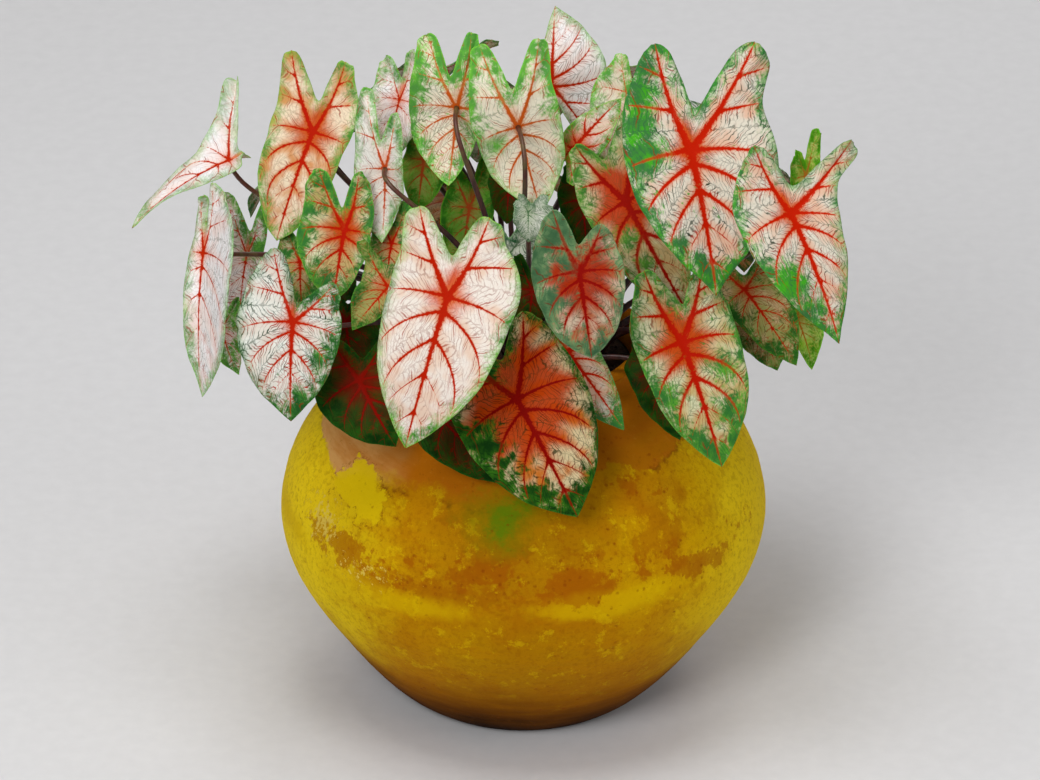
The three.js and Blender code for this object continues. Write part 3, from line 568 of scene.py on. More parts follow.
def vein_rows(leaf, outline, length, sign, spots):
    """The lines that run as the side veins do, one from each spot of the spine out to the edge."""
    start, rib = spine(leaf, length, sign, spots)
    at_hub = min(HUB_ANGLE, HUB_SHARE * rib)
    at_lobe = max(at_hub + 0.1, rib - LOBE_LEAD)
    front = TIP_ANGLE + (at_hub - TIP_ANGLE) * np.exp(-np.clip(spots, 0, 1) / TIP_APPROACH)
    behind = at_hub + (at_lobe - at_hub) * np.clip(-spots, 0, 1)
    heading = np.where(spots < 0, behind, front)
    bend = np.radians(np.interp(spots, *TURNS))
    width = max(leaf["widths"])
    way = np.linspace(0, MARCH_REACH * (width + MARCH_ROOM), MARCH_STEPS)
    bending = np.minimum(way / width, TURN_WHOLE) ** TURN_LATE
    course = heading[:, None] + bend[:, None] * bending[None, :]
    step = way[1]
    u = start[:, :1] + np.cumsum(np.cos(course), axis=1) * step - np.cos(course[:, :1]) * step
    v = start[:, 1:] + np.cumsum(np.sin(course), axis=1) * step - np.sin(course[:, :1]) * step
    level, _ = outline.level(u, sign * v)
    level[:, 0] = np.minimum(level[:, 0], 0.999)
    rows = []
    columns = np.linspace(0, 1, COLUMNS + 1)
    for i in range(len(spots)):
        outside = np.flatnonzero(level[i] >= 1)
        last = outside[0] if len(outside) else MARCH_STEPS - 1
        before, after = level[i, last - 1], level[i, last]
        end = way[last - 1] + (way[last] - way[last - 1]) * (1 - before) / max(after - before, 1e-9)
        if abs(spots[i]) == 1:
            end = 0
        places = columns * end
        rows.append(np.stack([np.interp(places, way, u[i]), np.interp(places, way, v[i]), places], axis=1))
    return np.array(rows)


def vein_lines(rows, spots, vein_width):
    """The main veins of one side as points with a half width: midrib, lobe's rib and side veins."""
    lines = []
    midrib = spots >= 0
    for chosen in (midrib, spots <= 0):
        way = np.abs(spots[chosen])
        width = vein_width * (MIDRIB_END + (1 - MIDRIB_END) * (1 - way) ** MIDRIB_TAPER)
        lines.append(np.column_stack([rows[chosen, 0, :2], width]))
    for spot in VEINS[1:-1]:
        row = rows[np.argmin(np.abs(spots - spot))]
        share = np.linspace(0, 1, len(row))
        width = vein_width * SIDE_WIDTH * (1 - TIPWARD_LOSS * abs(spot)) * (1 - OUTWARD_LOSS * share)
        if spot > FAINT_VEINS:
            width = width * FAINT_VEINS
        lines.append(np.column_stack([row[:, :2], width])[share < VEIN_END])
    return lines


def dense(line, spacing):
    """The same line with its points no farther apart than this."""
    way = np.concatenate([[0], np.cumsum(np.hypot(*np.diff(line[:, :2], axis=0).T))])
    places = np.linspace(0, way[-1], max(2, int(way[-1] / spacing) + 1))
    return np.column_stack([np.interp(places, way, column) for column in line.T])


def nearest(points, lines):
    """For each point, its distance to the nearest line, and the least distance over half width."""
    samples = np.vstack([dense(line, LINE_SPACING) for line in lines])
    gap = np.hypot(points[:, :1] - samples[:, 0], points[:, 1:2] - samples[:, 1])
    return gap.min(axis=1), (gap / samples[:, 2]).min(axis=1)


def blade_net(leaf, outline, length):
    """The flat blade: its points as [along, across], its faces, each point's place in the lattice of
    side veins, and the vein lines."""
    spots = np.concatenate([
        np.linspace(a, b, ROWS_BETWEEN, endpoint=False) for a, b in zip(VEINS, VEINS[1:])
    ] + [[1.0]])
    order = np.interp(spots, VEINS, np.arange(len(VEINS)))
    points, faces, lattice, lines = [], [], [], []
    for sign in (1, -1):
        rows = vein_rows(leaf, outline, length, sign, spots)
        lines += [line * [1, sign, 1] for line in vein_lines(rows, spots, leaf["vein_width"])]
        base = len(points)
        for row, place in zip(rows, order):
            points += [[u, sign * v] for u, v, _ in row]
            lattice += [[way, place] for _, _, way in row]
        outer = np.array(grid_faces(len(rows), COLUMNS + 1)) + base
        behind = np.flatnonzero(spots <= 0)[::-1]
        edge = dense(outline.inner_edge(sign), EDGE_SPACING)
        across = np.linspace(0, 1, INNER_COLUMNS + 1)[:, None]
        base = len(points)
        for i in behind:
            rib = rows[i, 0, :2]
            far = edge[round(-spots[i] * (len(edge) - 1))]
            strip = rib + across * (far - rib)
            points += [[u, sign * v] for u, v in strip]
            lattice += [[np.hypot(*(far - rib)) * share, order[i]] for share in across[:, 0]]
        inner = np.array(grid_faces(len(behind), INNER_COLUMNS + 1)) + base
        if sign < 0:
            outer = outer[:, ::-1]
            inner = inner[:, ::-1]
        faces += [*outer.tolist(), *inner.tolist()]
    return np.array(points), faces, np.array(lattice), lines


def weld(points, faces):
    """Joins points that fall together; gives the kept ones' numbers and the faces, without empty ones."""
    _, kept, renumber = np.unique(np.round(points, 3), axis=0, return_index=True, return_inverse=True)
    renumber = renumber.ravel()
    whole = []
    for face in faces:
        corners = []
        for corner in face:
            number = int(renumber[corner])
            if number not in corners:
                corners.append(number)
        if len(corners) > 2:
            whole.append(corners)
    return kept, whole


# ---- Materials ----
def linear(colour):
    """A colour given from 0 to 255 as Blender's linear one."""
    shares = [value / 255 for value in colour]
    return (*[s / 12.92 if s <= 0.04045 else ((s + 0.055) / 1.055) ** 2.4 for s in shares], 1)


class Value:
    """Something that a material computes. Arithmetic with it adds Math nodes to the material."""

    def __init__(self, nodes, socket):
        self.nodes = nodes
        self.socket = socket

    def __add__(self, other):
        return self.nodes.math("ADD", self, other)

    def __sub__(self, other):
        return self.nodes.math("SUBTRACT", self, other)

    def __rsub__(self, other):
        return self.nodes.math("SUBTRACT", other, self)

    def __mul__(self, other):
        return self.nodes.math("MULTIPLY", self, other)

    def __truediv__(self, other):
        return self.nodes.math("DIVIDE", self, other)

    def __abs__(self):
        return self.nodes.math("ABSOLUTE", self)


class Nodes:
    """One material and short calls that add a node to it; each call gives what the node computes."""

    def __init__(self, name, **values):
        self.material = bpy.data.materials.new(name)
        self.material.use_nodes = True
        self.tree = self.material.node_tree
        self.shader = self.tree.nodes["Principled BSDF"]
        for socket, value in values.items():
            self.shader.inputs[socket.replace("_", " ")].default_value = value

    def node(self, kind, inputs, **settings):
        node = self.tree.nodes.new(kind)
        for setting, value in settings.items():
            setattr(node, setting, value)
        for socket, value in inputs.items():
            self.feed(node.inputs[socket], value)
        return node

    def add(self, kind, inputs, output=0, **settings):
        return Value(self, self.node(kind, inputs, **settings).outputs[output])

    def feed(self, socket, value):
        if isinstance(value, Value):
            self.tree.links.new(value.socket, socket)
        else:
            socket.default_value = value

    def math(self, operation, a, b=0.0):
        return self.add("ShaderNodeMath", {0: a, 1: b}, operation=operation)

    def most(self, a, b):
        return self.math("MAXIMUM", a, b)

    def off_middle(self, value):
        """How far a value is from the middle between two whole numbers."""
        return abs(self.math("FRACT", value) - 0.5)

    def step(self, value, low, high, start=0.0, end=1.0):
        """Rises smoothly from start to end while value goes from low to high."""
        inputs = {"Value": value, "From Min": low, "From Max": high, "To Min": start, "To Max": end}
        return self.add("ShaderNodeMapRange", inputs, interpolation_type="SMOOTHSTEP")

    def mix(self, share, a, b):
        return self.add("ShaderNodeMix", {0: share, 6: a, 7: b}, output=2, data_type="RGBA")

    def over(self, colour, share, tone):
        """A colour with this share of a tone, given from 0 to 255, over it."""
        return self.mix(share, colour, linear(tone))

    def coats(self, colour, rows):
        """A colour with one tone after another over it: each row is a step's five values and the tone."""
        for *step, tone in rows:
            colour = self.over(colour, self.step(*step), tone)
        return colour

    def attribute(self, name):
        """The vector that each point of the mesh has under this name."""
        return self.add("ShaderNodeAttribute", {}, output="Vector", attribute_name=name)

    def place(self):
        return self.add("ShaderNodeTexCoord", {}, output="Object")

    def split(self, vector):
        """The three numbers of a vector."""
        return [Value(self, socket) for socket in self.node("ShaderNodeSeparateXYZ", {0: vector}).outputs]

    def scaled(self, vector, factors):
        return self.add("ShaderNodeVectorMath", {0: vector, 1: factors}, operation="MULTIPLY")

    def noise(self, place, scale, detail=2.0, roughness=0.5):
        inputs = {"Vector": place, "Scale": scale, "Detail": detail, "Roughness": roughness}
        return self.add("ShaderNodeTexNoise", inputs)

    def cracks(self, place, scale):
        """The distance to the nearest wall of irregular cells."""
        inputs = {"Vector": place, "Scale": scale}
        return self.add("ShaderNodeTexVoronoi", inputs, output="Distance", feature="DISTANCE_TO_EDGE")

    def cells(self, place, scale):
        """The distance to the nearest cell's middle."""
        return self.add("ShaderNodeTexVoronoi", {"Vector": place, "Scale": scale}, output="Distance")

    def finish(self, colour, height=None, strength=0.3, depth=0.001):
        self.feed(self.shader.inputs["Base Color"], colour)
        if height is not None:
            inputs = {"Height": height, "Strength": strength, "Distance": depth}
            self.feed(self.shader.inputs["Normal"], self.add("ShaderNodeBump", inputs))
        return self.material


RUNG_SPACING = 5.6  # millimetres between the fine lines that run from one side vein to the next
BRANCH_SPACING = 22.0  # and between the thin branch veins
CHEVRON = 20.0  # how much farther out than at the side veins the lines meet midway


def ladder_lines(g, ladder, low, high):
    """Lines wherever the ladder passes a whole step; low and high are shares of a step."""
    return g.step(g.off_middle(ladder), low, high, 1, 0)


def net_lines(g, place, lattice):
    """A blade's fine net, its thin branch veins, and a fringe that is drawn out the way the net runs."""
    along, between, seed = g.split(lattice)
    drift = g.noise(place, 0.04)
    jitter = g.noise(place, 0.22)
    off_middle = g.off_middle(between)
    aslant = along + off_middle * CHEVRON + drift * 18
    ladder = aslant / RUNG_SPACING
    rung = ladder_lines(g, ladder + jitter * 0.9, 0.06, 0.15)
    rung = rung * g.step(g.noise(place, 0.12), 0.34, 0.54, 0.25, 1)
    midway = between + (jitter - 0.5) * 0.3
    zigzag = g.step(g.off_middle(midway), 0.012, 0.035, 0.8, 0)
    mesh = g.step(g.cracks(g.scaled(place, (1, 1, 0.1)), 0.15), 0.008, 0.05, 0.75, 0)
    mesh = mesh * g.step(g.noise(place, 0.05), 0.44, 0.56)
    net = g.most(g.most(rung, zigzag), mesh)
    branch = ladder_lines(g, aslant / BRANCH_SPACING + jitter * 0.16, 0.012, 0.045)
    branch = branch * g.step(off_middle, 0.02, 0.25)
    woven = g.add("ShaderNodeCombineXYZ", {0: ladder, 1: between * 2, 2: seed})
    return net, branch, g.noise(woven, 1.3, 3, 0.6)


def leaf_material(leaf, underside):
    """A blade's upper side or underside, from its row of colours and the values that its points hold."""
    palette = {key: linear(value) for key, value in PALETTES[leaf["palette"]].items()}
    g = Nodes(leaf["name"] + ("_under" if underside else "_upper"), Roughness=0.55, Specular_IOR_Level=0.03)
    place = g.attribute("flat")
    ratio, near, edge = g.split(g.attribute("vein"))
    band, flush, patch = g.split(g.attribute("paint"))
    broad = g.noise(place, 0.05, 3)
    small = g.noise(place, 0.4, 4, 0.65)
    lines, branch, fringe = net_lines(g, place, g.attribute("lattice"))
    # Pale tissue with its blush, then the flush round the hub and along the main veins.
    clear = near + (broad - 0.5) * 60
    tissue = g.mix(g.step(clear, -4, 14), palette["blush"], palette["base"])
    tissue = g.mix(g.step(small, 0.45, 0.75, 0, 0.1), tissue, palette["halo"])
    flushed = flush + (broad * 14 + small * 14 - 14)
    tissue = g.mix(g.step(flushed, -16, 12, 0, 0.96), tissue, palette["flush"])
    # The underside is paled: partly its own colour, partly painted light that shines through the blade.
    if underside:
        tissue = g.mix(0.5, tissue, palette["under"])
    # The green margin, wide here and narrow there, and the green areas run out along the net.
    swing = g.step(g.noise(place, 0.06), 0.32, 0.68, 0.3, 1.6)
    reach = g.most(band * swing - edge, patch)
    nearby = g.step(reach, -18, 0)
    rough = (g.noise(place, 0.09) - 0.5) * 26
    frayed = (fringe - 0.5) * 30
    speckled = (small - 0.5) * 34
    reach = reach + (rough + (frayed + speckled)) * g.step(band, 1, 7, 0.35, 1)
    cover = g.step(reach, -11, 9)
    mottle = g.noise(place, 0.09) + (fringe - 0.5)
    limit = 0.92 - 0.42 * leaf["blotch"]
    cover = g.most(cover, g.step(mottle, limit, limit + 0.1, 0, 0.85))
    greens = g.mix(g.step(g.noise(place, 0.06, 4), 0.3, 0.7), palette["green"], palette["deep"])
    greens = g.mix(g.step(edge, 0.4, 1.8, 0.6, 0), greens, palette["rim"])
    cover = g.most(cover, g.step(edge, 0.5, 1.6, 0.8, 0))
    colour = g.mix(cover, tissue, greens)
    # The net takes the veins' colour beside them, and shows most near the green.
    spread = g.most(g.step(g.noise(place, 0.07), 0.35, 0.65, 0.5, 1), nearby)
    ink = g.mix(g.step(near, 2, 8), palette["vein"], palette["line"])
    ink = g.mix(cover, ink, palette["deep"])
    colour = g.mix(lines * spread * leaf["net"], colour, ink)
    branch_ink = g.mix(0.5, palette["vein"], palette["line"])
    colour = g.mix(branch * 0.75, colour, branch_ink)
    # Colour bleeds from the veins, whose own edges are feathered and which thin out toward the margin.
    thinning = g.step(edge, 1, 13, 0.4, 1)
    feather = ratio / thinning - small * 1.8 - lines * 0.5
    fading = 1 - cover * 0.4
    colour = g.mix(g.step(feather, 0, 1.4, 0.65, 0) * fading, colour, palette["halo"])
    vein = g.step(feather, -0.1, 0.4, 1, 0) * fading
    colour = g.mix(vein, colour, palette["vein_under" if underside else "vein"])
    height = g.step(ratio, 0.3, 1.6) - lines * 0.15
    return g.finish(colour, height, 0.25, 0.0005)


@functools.cache
def stalk_material():
    g = Nodes("stalks_and_tubers", Roughness=0.42)
    share, _, is_stalk = g.split(g.attribute("grown"))
    place = g.place()
    streaks = g.noise(g.scaled(place, (260, 260, 26)), 1, 3, 0.6)
    mottle = g.noise(place, 90, 4, 0.6)
    dark = g.mix(g.step(streaks, 0.38, 0.62), linear((28, 12, 14)), linear((70, 28, 26)))
    fresh = g.mix(g.step(mottle, 0.4, 0.62), linear((104, 48, 30)), linear((120, 104, 52)))
    colour = g.mix(g.step(share, 0.55, 1, 0, 0.55), dark, fresh)
    cork = g.mix(g.step(mottle, 0.35, 0.65), linear((50, 34, 24)), linear((96, 70, 48)))
    colour = g.mix(is_stalk, cork, colour)
    return g.finish(colour, streaks, 0.4, 0.0005)


def blade_height(leaf, number, length, u, v, level, share):
    """How far a point of the blade stands out of the leaf's own plane, as the solid has it."""
    along = u / length
    arch = ARCH_SLOPE * leaf["arch"] * along * (1 - np.abs(along))
    rise = np.hypot(v, FOLD_ROUNDING) - FOLD_ROUNDING
    turn = 2 * math.pi * WAVES_PER_SIDE * share + number * WAVE_TURN + np.where(v < 0, -1, 1)
    wave = leaf["wave"] * np.sin(math.pi * share) * level ** 2 * np.sin(turn)
    return arch + rise * math.sin(math.radians(leaf["fold"])) + wave


def point_normals(points, faces):
    """The mean direction of the faces round each point."""
    corners = np.array([[face[0], face[1], face[2], face[-1]] for face in faces])
    across = points[corners[:, 2]] - points[corners[:, 0]]
    other = points[corners[:, 3]] - points[corners[:, 1]]
    flat = np.cross(across, other)
    total = np.zeros_like(points)
    for face, normal in zip(faces, flat):
        total[face] += normal
    return total / np.maximum(np.linalg.norm(total, axis=1, keepdims=True), 1e-12)


def open_edges(faces):
    """The edges that only one face has, in that face's own direction."""
    ways = {(a, b) for face in faces for a, b in zip(face, face[1:] + face[:1])}
    return [(a, b) for a, b in ways if (b, a) not in ways]


QUILT_HEIGHT = 1.1  # how far the blade puckers up between its veins
QUILT_WIDTH = 5.0  # over which distance from a vein
QUILT_EDGE = 8.0  # and how far from the edge it is flat again
ROLL_DEPTH = 1.2  # how far the edge rolls down
ROLL_WIDTH = 3.0
RIPPLE_HEIGHT = 0.9  # how far the blade ripples up and down along its edge
RIPPLE_WIDTH = 11.0
RIPPLES_PER_SIDE = 6.5
EDGE_SHARE = 0.45  # the blade's thickness at its edge, as a share of the whole
EDGE_THIN = 3.0  # how far from the edge the blade has its whole thickness
HUB_CLEAR = 1.6  # how many vein widths from the hub the veins' own shading starts
TIP_START = 0.55  # from which share of the way the margin changes to the tip's own width
NO_PATCH = -60.0  # the reach of a point that is far from any patch
VEIN_FLUSH = (5, 0.35)  # how much farther the middle's colour goes by a vein, with a share of its reach
VEIN_FADE = (3, 0.1)  # the distance from the vein over which that fades, with a share of its reach
LOBE_FLUSH = 18  # how much farther it goes between the back lobes
MOST_RATIO = 12  # the distance to a vein over its half width, for all points farther away
SEED_STEP = 7.3  # keeps the patterns of different blades apart


def margin_width(leaf, length, u, v):
    """How wide the green margin is at each point: by the row's four widths, and the tip's own."""
    left_front, right_front, left_lobe, right_lobe = leaf["bands"]
    front = np.where(v > 0, right_front, left_front)
    band = np.where(u > 0, front, np.where(v > 0, right_lobe, left_lobe))
    toward_tip = np.clip((u / length - TIP_START) / (1 - TIP_START), 0, 1)
    return band + toward_tip * (leaf["tip_band"] - band)


def flush_depth(leaf, near, u, v):
    """How far inside the middle's colour each point is: round the hub, by the veins, between the lobes."""
    reach = leaf["flush_reach"]
    most, fade = (plain + share * reach for plain, share in (VEIN_FLUSH, VEIN_FADE))
    beside = most * np.exp(-near / fade)
    behind = np.clip(1 - np.abs(v) / np.maximum(-0.5 * u, 0.1), 0, 1)
    return reach + beside + LOBE_FLUSH * behind - np.hypot(u, v)


def patch_depth(leaf, u, v):
    """How far inside a green area each point is."""
    depth = np.full(len(u), NO_PATCH)
    for patch_u, patch_v, radius in leaf["patches"]:
        depth = np.maximum(depth, radius - np.hypot(u - patch_u, v - patch_v))
    return depth


def fine_relief(number, near, edge, share, v):
    """How far the blade stands out by its puckers, its rolled edge and the ripple along it."""
    pucker = QUILT_HEIGHT * (1 - np.exp(-(near / QUILT_WIDTH) ** 2)) * np.clip(edge / QUILT_EDGE, 0, 1)
    roll = ROLL_DEPTH * np.exp(-edge / ROLL_WIDTH)
    ripple = np.sin(2 * math.pi * RIPPLES_PER_SIDE * share + number + 2 * np.sign(v))
    ripple = RIPPLE_HEIGHT * ripple * np.exp(-edge / RIPPLE_WIDTH) * np.sin(math.pi * share)
    return pucker - roll + ripple


def build_blade(leaf, number):
    """One blade as a closed thin mesh, with the values that its material reads."""
    hub, along, right, up, length = leaf_frame(leaf)
    outline = Outline(leaf, length)
    flat, faces, lattice, lines = blade_net(leaf, outline, length)
    kept, faces = weld(flat, faces)
    flat, lattice = flat[kept], lattice[kept]
    u, v = flat.T
    near, ratio = nearest(flat, lines)
    ratio = np.minimum(ratio, np.hypot(u, v) / (HUB_CLEAR * leaf["vein_width"]))
    edge = np.min(np.hypot(u[:, None] - outline.loop[:, 0], v[:, None] - outline.loop[:, 1]), axis=1)
    level, share = outline.level(u, v)
    lift = blade_height(leaf, number, length, u, v, level, share)
    lift += fine_relief(number, near, edge, share, v)
    fold = math.cos(math.radians(leaf["fold"]))
    middle = hub + u[:, None] * along + (v * fold)[:, None] * right + lift[:, None] * up
    normals = point_normals(middle, faces)
    if np.sum(normals @ up) < 0:
        faces = [face[::-1] for face in faces]
        normals = -normals
    half = BLADE_HALF * (EDGE_SHARE + (1 - EDGE_SHARE) * np.clip(edge / EDGE_THIN, 0, 1))[:, None]
    count = len(middle)
    points = np.vstack([middle + normals * half, middle - normals * half])
    under = [[corner + count for corner in face[::-1]] for face in faces]
    rim = [[b, a, a + count, b + count] for a, b in open_edges(faces)]
    paint = [margin_width(leaf, length, u, v), flush_depth(leaf, near, u, v), patch_depth(leaf, u, v)]
    seed = np.full(count, number * SEED_STEP)
    layers = {
        "vein": [np.minimum(ratio, MOST_RATIO), near, edge],
        "flat": [u, v, seed * 10],
        "lattice": [lattice, seed],
        "paint": paint,
    }
    layers = {name: np.vstack([np.column_stack(columns)] * 2) for name, columns in layers.items()}
    slots = [0] * len(faces) + [1] * len(under) + [0] * len(rim)
    piece = make_mesh(
        leaf["name"] + "_blade",
        points,
        faces + under + rim,
        [leaf_material(leaf, False), leaf_material(leaf, True)],
        layers,
        slots,
    )
    dress(piece, "leaf_" + leaf["look"], leaf["name"])


# ---- Tubers and stalks ----
STALK_SIDES = 14
STALK_STEPS = 44
PRESS_REACH = 8  # how near its blade's hub a stalk is kept from coming out above the blade
CURVE_SAMPLES = 300
# A tuber, as [radius, height over the soil] from the top of its dome down to its flat end.
TUBER = [
    [1, TUBER_DOME], [9, TUBER_DOME - 0.6], [18, TUBER_DOME - 2.4], [22.5, 1],
    [TUBER_RADIUS, -4], [TUBER_RADIUS, -32], [14, -TUBER_DEPTH], [1, -TUBER_DEPTH],
]
TUBER_STEPS = 5
TUBER_SIDES = 40
TUBER_ROUGHNESS = 0.25
SHEATH_SWELL = (1.1, 0.06)  # how much a stalk swells at its base, and over which share of it
TOP_SWELL = (0.5, 0.012)  # the same where it meets the blade


def last_bend(hub, normal, distance):
    """The stalk's last control point: below the blade, over the pot's rim, and not beside the blade."""
    bend = hub - normal * distance
    if math.hypot(bend[0], bend[1]) < RIM_RADIUS + distance:
        bend[2] = max(bend[2], RIM_TOP + RIM_CLEARANCE)
    away = hub - bend
    missing = LEAST_LIFT * np.linalg.norm(away) - away @ normal
    return bend - normal * missing if missing > 0 else bend


def stalk_line(leaf, x, y):
    """The stalk's middle line, evenly spaced from inside the tuber to the blade's hub, and the blade's
    own upward direction there."""
    hub, along, _, up, length = leaf_frame(leaf)
    lean = math.atan2(hub[1] - y, hub[0] - x)
    foot = [x + STALK_RING * math.cos(lean), y + STALK_RING * math.sin(lean)]
    start = np.array([*foot, SOIL_TOP - STALK_START])
    normal = unit(up - along * ARCH_SLOPE * leaf["arch"] / length)
    span = np.linalg.norm(hub - start)
    rise = start + [0, 0, STALK_RISE * span]
    bend = last_bend(hub, normal, STALK_REACH * span)
    t = np.linspace(0, 1, CURVE_SAMPLES)[:, None]
    curve = (1 - t) ** 3 * start + 3 * (1 - t) ** 2 * t * rise + 3 * (1 - t) * t ** 2 * bend + t ** 3 * hub
    way = np.concatenate([[0], np.cumsum(np.linalg.norm(np.diff(curve, axis=0), axis=1))])
    places = np.linspace(0, way[-1], STALK_STEPS + 1)
    return np.column_stack([np.interp(places, way, column) for column in curve.T]), normal


def press_under(points, hub, normal):
    """A stalk's points, with those that would come out above its blade pressed flat against it."""
    points = np.array(points)
    out = np.maximum((points - hub) @ normal, 0)
    out[np.linalg.norm(points - hub, axis=1) > PRESS_REACH] = 0
    return points - out[:, None] * normal


def tube(line, radii, sides):
    """A closed tube round a line, as points and faces."""
    tangents = np.gradient(line, axis=0)
    tangents /= np.linalg.norm(tangents, axis=1, keepdims=True)
    normal = unit(np.cross(tangents[0], [0.3, 1, 0.2]))
    angles = np.arange(sides) / sides * 2 * math.pi
    points = []
    for place, tangent, radius in zip(line, tangents, radii):
        normal = unit(normal - normal @ tangent * tangent)
        other = np.cross(tangent, normal)
        points += [place + radius * (math.cos(a) * normal + math.sin(a) * other) for a in angles]
    return points, closed_faces(len(line), sides)


def build_crown(name, x, y, random):
    """A tuber and the stalks that grow from it, as one piece."""
    profile = smooth_through([[radius, SOIL_TOP + height] for radius, height in TUBER], TUBER_STEPS)
    around = np.arange(TUBER_SIDES) / TUBER_SIDES * 2 * math.pi
    rough = random.normal(0, TUBER_ROUGHNESS, (len(profile), TUBER_SIDES))
    points = [
        [x + (r + rough[i, j]) * math.cos(a), y + (r + rough[i, j]) * math.sin(a), z + rough[i, j]]
        for i, (r, z) in enumerate(profile) for j, a in enumerate(around)
    ]
    faces = [face[::-1] for face in closed_faces(len(profile), TUBER_SIDES)]
    grown = [[0, 0, 0]] * len(points)
    for leaf in [leaf for leaf in LEAVES if leaf["crown"] == name]:
        line, normal = stalk_line(leaf, x, y)
        way = np.linspace(0, 1, len(line))
        radii = STALK_BASE_RADIUS + (STALK_TOP_RADIUS - STALK_BASE_RADIUS) * way
        radii = radii + SHEATH_SWELL[0] * np.exp(-way / SHEATH_SWELL[1])
        radii = radii + TOP_SWELL[0] * np.exp(-(1 - way) / TOP_SWELL[1])
        tube_points, tube_faces = tube(line, radii, STALK_SIDES)
        seed = random.uniform(0, 40)
        grown += [[share, seed, 1] for share in way for _ in range(STALK_SIDES)]
        append(points, faces, press_under(tube_points, line[-1], normal), tube_faces)
    piece = make_mesh(f"crown_{name}_fine", points, faces, [stalk_material()], {"grown": grown})
    dress(piece, "stalk", "crown_" + name)


# ---- Pot and soil ----
POT_SIDES = 320
WALL_STEPS = 9  # rings of the outer wall for each point of OUTSIDE
INNER_STEPS = 4
THROWING_HEIGHT = 0.9  # how uneven the hand-thrown wall is
WHEEL_LINES = 130
WHEEL_HEIGHT = 0.14  # how deep the fine lines of the wheel are
PLAIN_END = 20  # how far from foot and lip the wall is even
DRILL_SIDES = 32
DRILL_START = -5
DRILL_END = 20
NO_MARK = -60.0  # the reach of a point that is far from any marked area
SOIL_SIDES = 120
SOIL_RINGS = 44
SOIL_GAP = (0.6, 0.3)  # between soil and pot, sideways and upwards
CRUMBS = 420
CRUMB_REACH = 1.9  # how far an icosahedron's corners, as given, are from its middle
CRUMB_SIZE = (1.2, 4.2)  # the smallest, and how much larger the largest are
CRUMB_UNEVEN = 0.28
CRUMB_STRETCH = (0.7, 1.2)
CRUMB_RAISED = 0.3  # how high a crumb's middle is over the soil, as a share of its size
CRUMB_FREE = 5  # how far the crumbs stay from the pot
LUMP_HEIGHT = 0.9  # how uneven the soil is from place to place
GRAIN_HEIGHT = 0.5  # and from point to point
LUMP_LIMITS = (-2, 2.2)


def lathe(profile, sides, swell=None):
    """Rings of points round the upright axis; swell moves each point out by a length in millimetres."""
    angles = np.arange(sides) / sides * 2 * math.pi
    radius = np.repeat(profile[:, :1], sides, axis=1)
    height = np.repeat(profile[:, 1:2], sides, axis=1)
    if swell is not None:
        radius = radius + swell
    return np.stack([radius * np.cos(angles), radius * np.sin(angles), height], axis=2).reshape(-1, 3)


def waves(random, rows, columns, count, along, around):
    """A gentle random relief that closes round the pot: sums of waves, at most `along` and `around` fast."""
    row = np.linspace(0, 1, rows)[:, None]
    turn = np.linspace(0, 2 * math.pi, columns, endpoint=False)[None, :]
    total = np.zeros((rows, columns))
    for _ in range(count):
        k, m = random.integers(0, around + 1), random.uniform(1, along)
        phase = random.uniform(0, 2 * math.pi)
        total += np.sin(k * turn + 2 * math.pi * m * row + phase) / (1 + 0.15 * (k + m))
    return total / math.sqrt(count)


def coat_patches(places):
    """How far inside each kind of marked area a point of the pot is, in millimetres."""
    azimuth = np.degrees(np.arctan2(places[:, 1], places[:, 0]))
    height = places[:, 2]
    around = np.hypot(places[:, 0], places[:, 1])
    found = {"bare": height - np.interp(azimuth, *np.array(BARE_EDGE, float).T)}
    for kind, rows in PATCHES.items():
        inside = np.full(len(places), NO_MARK)
        for where, level, half_width, half_height in rows:
            off = np.radians((azimuth - where + 180) % 360 - 180) * around
            distance = np.hypot(off / half_width, (height - level) / half_height)
            inside = np.maximum(inside, (1 - distance) * min(half_width, half_height))
        found[kind] = inside
    return found


def build_pot(random):
    """The fine pot: the solid's wall with its unevenness and drain holes, and the values of its coat."""
    wall = smooth_through(OUTSIDE, WALL_STEPS)
    rows = len(wall)
    throwing = waves(random, rows, POT_SIDES, count=10, along=4, around=3) * THROWING_HEIGHT
    levels = np.linspace(0, RIM_TOP, WHEEL_LINES)
    wheel = np.interp(wall[:, 1], levels, random.normal(0, WHEEL_HEIGHT, WHEEL_LINES))[:, None]
    fade = np.clip(np.minimum(wall[:, 1], RIM_TOP - wall[:, 1]) / PLAIN_END, 0, 1)[:, None]
    outer = lathe(wall, POT_SIDES, (throwing + wheel) * fade)
    inside = smooth_through(INSIDE, INNER_STEPS)
    points = np.vstack([outer, lathe(inside, POT_SIDES)])
    faces = closed_faces(rows + len(inside), POT_SIDES)
    piece = make_mesh("pot_fine", points, faces, [pot_material()])
    for i in range(DRAIN_COUNT):
        angle = i / DRAIN_COUNT * 2 * math.pi
        middle = [DRAIN_CIRCLE * math.cos(angle), DRAIN_CIRCLE * math.sin(angle)]
        line = np.array([[*middle, DRILL_START], [*middle, DRILL_END]])
        drill = make_mesh("drill", *tube(line, [DRAIN_RADIUS] * 2, DRILL_SIDES), [])
        cut = piece.modifiers.new("drain", "BOOLEAN")
        cut.operation = "DIFFERENCE"
        cut.solver = "EXACT"
        cut.object = drill
        settle(piece)
        bpy.data.objects.remove(drill)
    places = np.array([corner.co for corner in piece.data.vertices]) / MM
    marks = coat_patches(places)
    add_layer(piece.data, "coat", np.column_stack([marks["bare"], marks["bright"], marks["brown"]]))
    add_layer(piece.data, "marks", np.column_stack([marks["moss"], marks["pale"], marks["band"]]))
    dress(piece, "clay", "pot")


